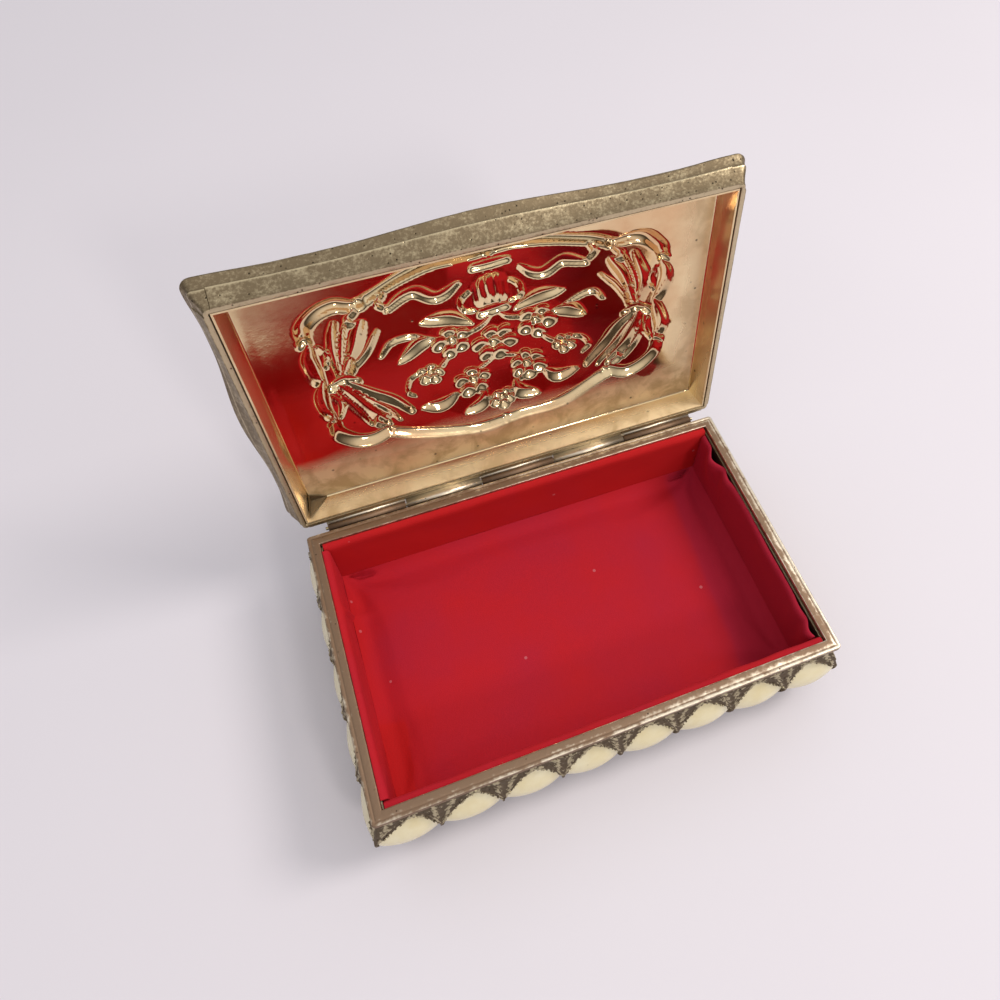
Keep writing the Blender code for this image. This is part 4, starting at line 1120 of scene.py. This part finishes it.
class Relief:
    """Heights from 0 to 1 raised at points of the panel, in mm from the cartouche's middle. Each
    motif keeps the higher of itself and what is there already."""

    def __init__(self, x, y):
        self.x, self.y = x, y
        self.height = np.zeros_like(x)

    def ridge(self, path, width, height, tip=1.0, groove=0.0, flat=2):
        """A ridge along a path. tip narrows its ends, groove sinks a line down its middle, and its
        section is a roof where flat is 1, round where it is 2, and flat with steep sides where it
        is more."""
        points = smooth_path(path)
        runs = len(points) - 1
        for i, (first, last) in enumerate(zip(points, points[1:])):
            run = last - first
            share = ((self.x - first.x) * run.x + (self.y - first.y) * run.y) / run.length_squared
            share = np.clip(share, 0, 1)
            beside = np.hypot(self.x - first.x - run.x * share, self.y - first.y - run.y * share)
            taper = 1 - (1 - tip) * (2 * (i + share) / runs - 1) ** 2
            near = np.clip(beside / (width * taper), 0, 1)
            swell = (1 - near**flat) ** RELIEF_SOFTNESS
            swell = swell * (1 - groove * np.exp(-((near / 0.22) ** 2)))
            np.maximum(self.height, height * swell, out=self.height)

    def mirrored_ridge(self, path, *sizes, **shape):
        """A ridge on both sides of the middle."""
        for side in (-1, 1):
            self.ridge([(x * side, y) for x, y in path], *sizes, **shape)

    def quartered_ridge(self, path, *sizes, **shape):
        """A ridge in all four quarters."""
        for end in (-1, 1):
            self.mirrored_ridge([(x, y * end) for x, y in path], *sizes, **shape)

    def boss(self, x, y, radius, height):
        """A dome."""
        near = np.hypot(self.x - x, self.y - y) / radius
        dome = height * np.clip(1 - near**2, 0, 1) ** RELIEF_SOFTNESS
        np.maximum(self.height, dome, out=self.height)

    def flower(self, x, y, radius, petals, turn):
        """A ring of round petals about a bud."""
        for petal in range(petals):
            angle = turn + math.tau * petal / petals
            reach_x, reach_y = radius * math.cos(angle), radius * math.sin(angle)
            self.boss(x + 0.56 * reach_x, y + 0.56 * reach_y, 0.46 * radius, 0.85)
        self.boss(x, y, 0.34 * radius, 1.15)

    def flutes(self, x, y, half_x, half_y, spacing, depth):
        """Sinks upright flutes into what is raised within an oval."""
        near = np.hypot((self.x - x) / half_x, (self.y - y) / half_y)
        waves = 0.5 - 0.5 * np.cos(math.tau * (self.x - x) / spacing)
        self.height *= 1 - depth * waves * np.clip((1 - near) / 0.2, 0, 1)


def draw_cartouche(relief):
    """The cartouche's frame: bowed rods, C scrolls and side leaves, with a bead at each joint."""
    relief.quartered_ridge([(1.6, 28.1), (12.0, 27.6), (21.0, 25.4), (28.6, 22.0)], 1.8, 1.0)
    scroll = [(31.6, 21.0), (35.5, 22.3), (39.8, 21.2), (43.0, 18.0), (43.8, 15.2)]
    relief.quartered_ridge(scroll, 2.1, 1.0, tip=0.8)
    curl = [(31.4, 19.4), (33.2, 17.4), (32.4, 15.4), (30.8, 16.2)]
    relief.quartered_ridge(curl, 1.0, 0.6, tip=0.7)
    leaf = [(43.6, 12.4), (44.9, 8.0), (44.2, 3.0), (43.0, 0.0)]
    relief.quartered_ridge(leaf, 2.1, 0.9, tip=0.4, groove=0.4)
    relief.quartered_ridge([(42.2, 12.2), (40.8, 8.4), (41.8, 4.4)], 0.9, 0.5, tip=0.3)
    beads = ((30.1, 21.3, 1.9, 1.2), (44.0, 13.8, 1.8, 1.1), (0.0, 27.9, 2.1, 1.2))
    for (x, y, radius, height), side, end in product(beads, (-1, 1), (-1, 1)):
        relief.boss(x * side, y * end, radius, height)


def draw_curtains(relief):
    """Curtains at both sides of the picture: folds that are gathered in a tie and fall from it."""
    for fold in (
        [(24.0, 16.6), (31.0, 8.2), (37.4, 2.0)], [(30.6, 18.4), (36.2, 10.0), (39.2, 2.6)],
        [(38.6, -0.6), (39.0, -9.0), (36.4, -17.2)], [(37.6, -0.6), (34.6, -8.0), (30.6, -16.0)],
    ):
        relief.mirrored_ridge(fold, 1.9, 0.78, tip=0.5, flat=1.4)
    for fold in (
        [(27.4, 18.0), (33.8, 9.4), (38.4, 2.4)], [(34.6, 17.2), (38.6, 10.4), (40.0, 3.4)],
        [(38.2, -1.0), (37.0, -8.8), (33.6, -17.0)], [(36.8, -0.8), (32.2, -6.6), (27.8, -12.6)],
    ):
        relief.mirrored_ridge(fold, 0.9, 0.55, tip=0.4)
    relief.mirrored_ridge([(35.4, 1.8), (38.2, 0.8), (41.0, 1.8)], 1.7, 1.0, tip=0.8, groove=0.25)
    relief.mirrored_ridge([(36.6, 0.2), (35.2, -3.6), (36.4, -6.6)], 0.8, 0.95, tip=0.5)


def draw_bouquet(relief):
    """A vase of flowers, whose foot is towards the lid's front, with a ribbon at both sides."""
    relief.boss(0.0, 5.0, 21.0, 0.3)
    relief.ridge([(0.0, -22.0), (0.0, -6.0)], 10.0, 0.3)
    leaves = (
        [(5.4, -7.0), (11.0, -10.2), (18.0, -10.6)], [(15.0, -4.2), (19.6, -3.8), (24.4, -0.6)],
        [(11.6, 14.8), (16.0, 17.6), (21.6, 17.0)], [(3.6, 16.4), (5.4, 20.2), (10.4, 22.4)],
    )
    for leaf in leaves:
        relief.mirrored_ridge(leaf, 2.4, 0.75, tip=0.1, flat=1.3)
    for stem in (
        [(0.6, -8.0), (3.4, -5.4), (8.6, -3.4)], [(1.0, 6.4), (4.6, 8.0), (7.0, 10.0)],
        [(12.0, 1.6), (15.0, 5.4), (17.6, 7.0)], [(6.4, 15.2), (4.0, 18.6), (1.4, 20.0)],
        [(14.4, -2.2), (19.6, -6.6), (25.6, -7.4), (28.4, -4.4)],
    ):
        relief.mirrored_ridge(stem, 0.8, 0.5, tip=0.5)
    for x, y, radius, petals, turn in (
        (0.0, 1.6, 6.8, 6, 0.2), (-10.8, -2.4, 5.6, 5, 0.6), (11.0, -2.0, 5.8, 5, 0.1),
        (-7.4, 12.2, 5.4, 5, 0.9), (7.6, 11.8, 5.6, 6, 0.4), (-17.6, 6.6, 3.5, 5, 0.0),
        (18.0, 7.2, 3.6, 5, 0.5), (0.2, 20.8, 3.5, 5, 0.3),
    ):
        relief.flower(x, y, radius, petals, turn)
    ribbon = [(7.6, -20.4), (12.6, -17.2), (18.0, -20.2), (24.0, -17.4)]
    relief.mirrored_ridge(ribbon, 1.9, 0.5, tip=0.4, flat=5)
    relief.mirrored_ridge([(24.0, -17.6), (26.0, -19.8), (24.4, -22.0)], 0.9, 0.6, tip=0.4)
    tendril = [(19.8, 5.0), (23.0, 6.4), (24.4, 9.8), (22.6, 12.0)]
    relief.mirrored_ridge(tendril, 0.65, 0.45, tip=0.4)
    relief.ridge([(0.0, -16.4), (0.0, -13.4)], 5.2, 1.0)
    relief.flutes(0.0, -15.0, 5.6, 6.8, 1.9, 0.3)
    relief.ridge([(-3.0, -8.8), (3.0, -8.8)], 2.0, 0.9, tip=0.8, groove=0.2)
    relief.ridge([(-3.8, -23.4), (3.8, -23.4)], 2.0, 0.9, tip=0.8, groove=0.2)
    handle = [(4.4, -10.4), (7.4, -11.4), (7.4, -14.8), (5.0, -17.0)]
    relief.mirrored_ridge(handle, 0.8, 0.7, tip=0.7)


def panel_sizes():
    """Half the sheet's sizes on its inner face: at its edge, its fold and the border's window."""
    setback = LID_EDGE_THICKNESS + SEAT_GAP + PANEL_SHEET
    edge = Vector((HALF_WIDTH - setback, HALF_DEPTH - setback))
    fold = edge - Vector((PANEL_WALL_SLOPE, PANEL_WALL_SLOPE))
    lip = LID_BORDER_WIDTH + SEAT_GAP
    return edge, fold, Vector((HALF_WIDTH - lip, HALF_DEPTH - lip))


def lines_across(reach, low, high):
    """A grid's lines over a window: fine from low to high, where the relief is, and coarse beside
    it."""
    fine = round((high - low) / PANEL_CELL)
    lines = []
    for first, last, steps in (
        (-reach, low, PANEL_COARSE_CELLS), (low, high, fine), (high, reach, PANEL_COARSE_CELLS)
    ):
        lines += [lerp(first, last, step / steps) for step in range(steps)]
    return [*lines, reach]


def extend_border(plate, half_x, half_y, height):
    """Adds a strip all round an open plate, out to a rectangle of these half sizes."""
    border = [edge for edge in plate.edges if edge.is_boundary]
    verts = new_verts(bmesh.ops.extrude_edge_only(plate, edges=border))
    now_x, now_y = max(vertex.co.x for vertex in verts), max(vertex.co.y for vertex in verts)
    for vertex in verts:
        vertex.co = (vertex.co.x * half_x / now_x, vertex.co.y * half_y / now_y, height)


def field_dome(relief):
    """How far the sheet bows out behind its relief. At the left and at the lid's front it bows to
    the fold."""
    left = np.clip(-relief.x / 20, 0, 1)
    half_x = np.where(relief.x < 0, FIELD_LEFT_HALF[0], FIELD_HALF[0])
    wider = (FIELD_LEFT_HALF[1] - FIELD_HALF[1]) * left
    half_y = FIELD_HALF[1] + np.where(relief.y < 0, wider, 0.0)
    power = 3 + 3 * left
    reach = (np.abs(relief.x / half_x) ** power + np.abs(relief.y / half_y) ** power) ** (1 / power)
    return FIELD_DOME * np.clip(1 - reach**2.6, 0, 1)


def sheet_face(offset):
    """One face of the pressed sheet, offset outwards from the inner one: its plate, its fold and
    its wall."""
    edge, fold, window = panel_sizes()
    reach_x, reach_y = (size * MM for size in RELIEF_REACH)
    shift = RELIEF_SHIFT * MM
    columns = lines_across(window.x, -reach_x, reach_x)
    rows = lines_across(window.y, max(-reach_y - shift, -window.y + 0.2 * MM), reach_y - shift)
    plate = bmesh.new()
    layer = mark_worn(plate)
    counts = {"x_segments": len(columns) - 1, "y_segments": len(rows) - 1}
    bmesh.ops.create_grid(plate, size=0.5, **counts)
    for vertex in plate.verts:
        column = round((vertex.co.x + 0.5) * counts["x_segments"])
        row = round((vertex.co.y + 0.5) * counts["y_segments"])
        vertex.co = (columns[column], rows[row], 0)
    x, y = np.array([vertex.co.xy for vertex in plate.verts]).T
    relief = Relief(*hand_drawn(x / MM, y / MM + RELIEF_SHIFT))
    for draw in (draw_cartouche, draw_curtains, draw_bouquet):
        draw(relief)
    level = LID_BASE + PANEL_RECESS
    raised = field_dome(relief) + relief.height * bpy.context.scene.trinket_box_sizes.relief_height
    by_hinge = np.clip((relief.y - HAZE_BY_HINGE) / HAZE_SOFTNESS, 0, 1)
    by_end = 0.6 * np.clip((relief.x - FIELD_HALF[0]) / HAZE_SOFTNESS, 0, 1)
    in_corner = np.exp(-sum(
        ((way - middle) / reach) ** 2
        for way, middle, reach in zip((relief.x, relief.y), HAZE_CORNER, HAZE_CORNER_REACH)
    ))
    bare = 1 - np.clip(1.5 * relief.height, 0, 1)
    haze = np.maximum(np.maximum(by_hinge, by_end), 0.4 * in_corner) * bare
    for vertex, height, share in zip(plate.verts, raised, haze):
        vertex[layer] = share
        edge_share = min(window.x - abs(vertex.co.x), window.y - abs(vertex.co.y)) / PANEL_MARGIN
        wave = smooth(edge_share) * PANEL_WAVE * noise.noise(vertex.co / PANEL_WAVE_LENGTH)
        vertex.co.z = level + offset + height * smooth(edge_share * 8) + wave
    slope = math.atan2(PANEL_RECESS, PANEL_WALL_SLOPE)
    radius = PANEL_FOLD_RADIUS + offset
    for step in range(PANEL_FOLD_STEPS + 1):
        turn = slope * step / PANEL_FOLD_STEPS
        out = radius * math.sin(turn) - PANEL_FOLD_RADIUS
        height = level - PANEL_FOLD_RADIUS + radius * math.cos(turn)
        extend_border(plate, fold.x + out, fold.y + out, height)
    extend_border(plate, edge.x + offset, edge.y + offset, LID_BASE + SEAT_GAP)
    for vertex in plate.verts:
        if vertex.co.z <= level - PANEL_FOLD_RADIUS:
            vertex[layer] = lerp(0.3, 1.0, smooth(vertex.co.y / fold.y))
        elif vertex.co.z < level - 0.05 * MM:
            vertex[layer] = 0.1
    return plate


class TRINKETBOX_OT_lid_panel(bpy.types.Operator):
    """Pressed sheet in the lid, with a cartouche and a picture raised outwards"""

    bl_idname = "trinket_box.lid_panel"
    bl_label = "Lid Panel"

    def execute(self, context):
        sheet, outer = sheet_face(0.0), sheet_face(PANEL_SHEET)
        edge = panel_sizes()[0]
        extend_border(sheet, edge.x + PANEL_SHEET, edge.y + PANEL_SHEET, LID_BASE + SEAT_GAP)
        face = bpy.data.meshes.new("outer_face")
        outer.to_mesh(face)
        outer.free()
        sheet.from_mesh(face)
        bpy.data.meshes.remove(face)
        bmesh.ops.remove_doubles(sheet, verts=sheet.verts, dist=1e-6)
        finish_piece("embossed_sheet", face_outwards(sheet), "sheet", "lid", ["lid_panel"], 60)
        return {"FINISHED"}


def right_fold(along, share):
    """How far the right strip stands in from its straight lean: a pinch at the rear and a tuck at
    the front."""
    folds = sum(depth * hump(along, middle, reach) for depth, middle, reach in RIGHT_FOLDS)
    return folds * smooth(share * 1.4 - 0.3) * MM


def covered_strip(side):
    """A velvet strip on card that stands along one side, with a rounded top and slight waves. The
    right one leans and folds, the others' tops roll in under the rim, and the left one has a
    crease."""
    _, tangent, normal = SIDES[side]
    lean_most = bpy.context.scene.trinket_box_sizes.lining_lean
    half_along, out = (size - RIM_FLAT - LINING_INSET for size in side_sizes(side)[:2])
    if side % 2:
        half_along -= LINING_THICKNESS + SEAT_GAP
    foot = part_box("lining_floor")[0].z
    top = CASE_HEIGHT - (LINING_LEANING_DROP if side == RIGHT else LINING_TOP_DROP)
    # Painted shade and light on each strip: the right one is all painted shade, where the right
    # wall's shadow falls, the back one is painted lighter than the rest, and the front and left
    # ones take some painted shade.
    wear_and_light = {RIGHT: 0.95, BACK: 0.0}.get(side, 0.3)
    strip = slab(LINING_STEPS, LINING_ROWS)
    layer = mark_worn(strip)
    for vertex in strip.verts:
        x, y, upper = vertex.co
        share = (y + 1) / 2
        along = x * half_along
        height = lerp(foot, top, share)
        place = at_height(tangent * along + normal * out, height)
        rounded = 1 - math.sqrt(max(0.0, 1 - max(0.0, (share - 0.96) / 0.04) ** 2))
        inward = LINING_THICKNESS * (1 - rounded / 2) * upper
        if side == RIGHT:
            inward += lean_most * share + right_fold(along / MM, share)
        else:
            rolled = smooth((height - CASE_HEIGHT + LINING_ROLL_DROP) / LINING_ROLL_EASE)
            inward += LINING_ROLL * rolled * (1.2 * upper - 1)
        if side == LEFT:
            crease = hump(along / MM - 6 * share, -21.0, 1.8) * smooth(5 * (1 - share))
            inward += LINING_CREASE * upper * crease
        inward += LINING_WAVE * upper * smooth(4 * share) * noise.noise(place / LINING_WAVE_LENGTH)
        fuzz = LINING_FUZZ * noise.noise(place / LINING_FUZZ_LENGTH) * smooth((share - 0.8) / 0.2)
        vertex[layer] = wear_and_light
        vertex.co = at_height(tangent * along + normal * (out - inward), height + fuzz)
    return face_outwards(strip)


def puffed(name, shape, most):
    """Lets a pad swell as stuffed cloth, with its foot held, by no more than most. It is modelled
    at ten times its size, because the cloth solver's steps are too coarse for a pad this thin."""
    mesh = bpy.data.meshes.new(name)
    bmesh.ops.scale(shape, vec=[CLOTH_SCALE] * 3, verts=shape.verts)
    shape.to_mesh(mesh)
    pad = new_object(name, mesh)
    low = min(vertex.co.z for vertex in mesh.vertices)
    held = pad.vertex_groups.new(name="held")
    foot = [vertex.index for vertex in mesh.vertices if vertex.co.z < low + 1 * MM]
    held.add(foot, 1.0, "REPLACE")
    cloth = pad.modifiers.new("cloth", "CLOTH")
    cloth.settings.vertex_group_mass = "held"
    cloth.settings.use_pressure = True
    cloth.settings.uniform_pressure_force = CLOTH_PRESSURE
    cloth.settings.effector_weights.gravity = 0.0
    cloth.settings.tension_stiffness = cloth.settings.compression_stiffness = CLOTH_STIFFNESS
    cloth.point_cache.frame_end = CLOTH_FRAMES
    for step in range(1, CLOTH_FRAMES + 1):
        bpy.context.scene.frame_set(step)
    swollen = pad.evaluated_get(bpy.context.evaluated_depsgraph_get()).to_mesh()
    moved = [after.co - before.co for after, before in zip(swollen.vertices, mesh.vertices)]
    bpy.context.scene.frame_set(1)
    bpy.data.objects.remove(pad)
    bpy.data.meshes.remove(mesh)
    bmesh.ops.scale(shape, vec=[1 / CLOTH_SCALE] * 3, verts=shape.verts)
    for vertex, move in zip(shape.verts, moved):
        rise = move.z / CLOTH_SCALE
        vertex.co.z += math.copysign(min(abs(rise), most), rise)
    return shape


def floor_pad():
    """The padded floor, crowned and rounded down to its foot at the edge."""
    low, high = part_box("lining_floor")
    low, high = CASE_PLACE.inverted() @ low, CASE_PLACE.inverted() @ high
    middle, half = (low + high) / 2, (high - low) / 2
    pad = slab(PAD_STEPS, PAD_ROWS)
    half += PAD_SPREAD
    for vertex in pad.verts:
        x, y, upper = vertex.co
        ease_x, ease_y = math.sin(x * math.pi / 2), math.sin(y * math.pi / 2)
        near = min((1 - abs(ease_x)) * half.x, (1 - abs(ease_y)) * half.y)
        height = lerp(*PAD_RISE, smooth(near / PAD_SHOULDER)) * (high.z - low.z)
        vertex.co = middle + Vector((ease_x * half.x, ease_y * half.y, -half.z + upper * height))
    return face_outwards(pad)


def crease_pad(pad):
    """Turns the pad's edge up the strips, raises the creases by the left one, and marks painted
    shade and light on the pile: painted shade to the right, where the right wall's shadow falls,
    and painted light on the flap and at the left, with random clouds."""
    layer = mark_worn(pad)
    foot = min(vertex.co.z for vertex in pad.verts)
    reach_x, reach_y = (max(vertex.co[axis] for vertex in pad.verts) for axis in range(2))
    for vertex in pad.verts:
        x, y = vertex.co.x / MM, vertex.co.y / MM
        ridge = hump(y + 0.2 * (x + 52), 20.2, 1.6) * hump(x, -54.5, 8.0)
        pressed = smooth((-11.5 - y) / 0.5)
        flap = smooth((-48.3 - x + 0.13 * (y + 12)) / 0.5) * pressed
        away = min(reach_x - abs(vertex.co.x), reach_y - abs(vertex.co.y))
        if vertex.co.z > foot + 0.3 * MM:
            vertex.co.z += PAD_COVE * max(0.0, 1 - away / PAD_COVE_REACH) ** 2
            vertex.co.z += (1.0 * ridge - 0.35 * hump(x, -47.6, 1.2) * pressed) * MM
        # Painted shade: a soft band on the right whose edge follows the right wall's shadow.
        # Painted light: the flap and the left side are drawn lighter.
        painted_shade = 0.5 * smooth((x - 41.5 - 0.08 * y) / 3.5)
        painted_light = 0.3 * flap + 0.3 * hump(x, -57.0, 9.0)
        cloud = 0.15 * noise.noise(vertex.co / (14 * MM))
        vertex[layer] = 0.4 + painted_shade - painted_light + cloud
    return pad


class TRINKETBOX_OT_lining(bpy.types.Operator):
    """Velvet lining: a padded floor and four covered strips, of which the right one leans in"""

    bl_idname = "trinket_box.lining"
    bl_label = "Velvet Lining"

    def execute(self, context):
        for side, (side_name, _, _) in enumerate(SIDES):
            shape, node = covered_strip(side), f"lining_{side_name}"
            strip = finish_piece(f"velvet_{side_name}", shape, "velvet", "case", [node], 70)
        pad = floor_pad()
        pad = puffed("pad_cloth", pad, context.scene.trinket_box_sizes.pad_puff)
        pad = crease_pad(pad)
        piece = finish_piece("velvet_floor", pad, "velvet", "case", ["lining_floor"], 70)
        finer = piece.modifiers.new("finer", "SUBSURF")
        finer.levels = finer.render_levels = 1
        return {"FINISHED"}


class TRINKETBOX_OT_plain_solids(bpy.types.Operator):
    """Finishes of the feet, the bottom plate and the lid's folded tab, whose shapes stay as they
    are"""

    bl_idname = "trinket_box.plain_solids"
    bl_label = "Feet, Bottom and Tab"

    def execute(self, context):
        finishes = {"bottom_plate": "wall", "lid_corner_tab": "lid"}
        finishes.update({name: "wall" for name in frame["nodes"] if name.startswith("foot_")})
        for name, finish in finishes.items():
            solid = frame["nodes"][name]
            solid.data.materials.clear()
            solid.data.materials.append(material_for(finish))
        return {"FINISHED"}


class TRINKETBOX_OT_stage(bpy.types.Operator):
    """Pale floor, soft light all round, two lamps and the photograph's camera"""

    bl_idname = "trinket_box.stage"
    bl_label = "Stage"

    def execute(self, context):
        scene = context.scene
        look = scene.trinket_box_stage
        colour = scene.trinket_box_colours.floor
        material, shader, add, place = new_material("Pale Painted Board", Roughness=0.9)
        shader.inputs["Specular IOR Level"].default_value = 0.2
        cloud = add("TexNoise", {"Vector": place, "Scale": 8.0, "Detail": 2.0})
        tone = {SHARE: cloud, FIRST: opaque(colour), SECOND: opaque(colour, 0.96)}
        link(add("Mix", tone, **MIX_COLOUR), shader, "Base Color")
        shape = bmesh.new()
        bmesh.ops.create_grid(shape, x_segments=1, y_segments=1, size=FLOOR_SIZE / 2)
        floor = new_object("floor", new_mesh("floor", shape))
        floor.data.materials.append(material)

        world = bpy.data.worlds.new("soft_room")
        world.use_nodes = True
        add = partial(add_node, world.node_tree)
        height = add("SeparateXYZ", {"Vector": add("TexCoord", output="Generated")}, output="Z")
        share = {"Value": height, "From Min": 0.12, "From Max": 0.8}
        share = add("MapRange", share, interpolation_type="SMOOTHSTEP")
        wall, ceiling = (opaque(linear_colour(code)) for code in ("#57524E", "#FFFFFF"))
        background = world.node_tree.nodes["Background"]
        background.inputs["Strength"].default_value = look.sky_strength
        tone = add("Mix", {SHARE: share, FIRST: wall, SECOND: ceiling}, **MIX_COLOUR)
        link(tone, background, "Color")
        scene.world = world

        for name, way, size, power in (
            ("key", KEY_WAY, KEY_SIZE, look.key_power),
            ("fill", FILL_WAY, FILL_SIZE, look.fill_power),
        ):
            light = bpy.data.lights.new(name, "AREA")
            light.shape = "DISK"
            light.size = size
            light.energy = power
            light.color = linear_colour("#FFF8F0")
            lamp = new_object(name, light)
            lamp.location = way.normalized() * LAMP_DISTANCE
            lamp.rotation_euler = way.to_track_quat("Z", "Y").to_euler()

        camera = bpy.data.cameras.new("camera")
        camera.sensor_width = CAMERA_SENSOR_MM
        camera.lens = CAMERA_LENS_MM
        camera.shift_x, camera.shift_y = CAMERA_SHIFT
        camera.clip_start = 1 * MM
        eye = new_object("camera", camera)
        eye.location = CASE_PLACE @ (Vector((0, 0, CASE_HEIGHT)) + CAMERA_FROM_RIM)
        eye.rotation_euler = [math.radians(turn) for turn in CAMERA_TURN_DEGREES]
        scene.camera = eye
        scene.view_settings.view_transform = "Standard"
        return {"FINISHED"}


OPERATORS = (
    TRINKETBOX_OT_wall,
    TRINKETBOX_OT_enamel,
    TRINKETBOX_OT_rim,
    TRINKETBOX_OT_hinge,
    TRINKETBOX_OT_lid_border,
    TRINKETBOX_OT_lid_panel,
    TRINKETBOX_OT_lining,
    TRINKETBOX_OT_plain_solids,
    TRINKETBOX_OT_stage,
)
SETTINGS = {
    "trinket_box_sizes": TrinketBoxSizes,
    "trinket_box_colours": TrinketBoxColours,
    "trinket_box_stage": TrinketBoxStage,
}


class TRINKETBOX_PT_pieces(bpy.types.Panel):
    """The box's pieces and settings"""

    bl_idname = "TRINKETBOX_PT_pieces"
    bl_label = "Trinket Box"
    bl_space_type = "VIEW_3D"
    bl_region_type = "UI"
    bl_category = "Trinket Box"

    def draw(self, context):
        for operator in OPERATORS:
            self.layout.operator(operator.bl_idname)
        for name, group in SETTINGS.items():
            box = self.layout.box()
            for setting in group.__annotations__:
                box.prop(getattr(context.scene, name), setting)


def register():
    for part in (*SETTINGS.values(), *OPERATORS, TRINKETBOX_PT_pieces):
        bpy.utils.register_class(part)
    for name, group in SETTINGS.items():
        setattr(bpy.types.Scene, name, PointerProperty(type=group))


def unregister():
    for name in SETTINGS:
        delattr(bpy.types.Scene, name)
    for part in (TRINKETBOX_PT_pieces, *reversed(OPERATORS), *reversed(SETTINGS.values())):
        bpy.utils.unregister_class(part)


def main():
    """Makes every piece and the stage."""
    register()
    for operator in OPERATORS:
        group, name = operator.bl_idname.split(".")
        getattr(getattr(bpy.ops, group), name)()


if __name__ == "__main__":
    main()
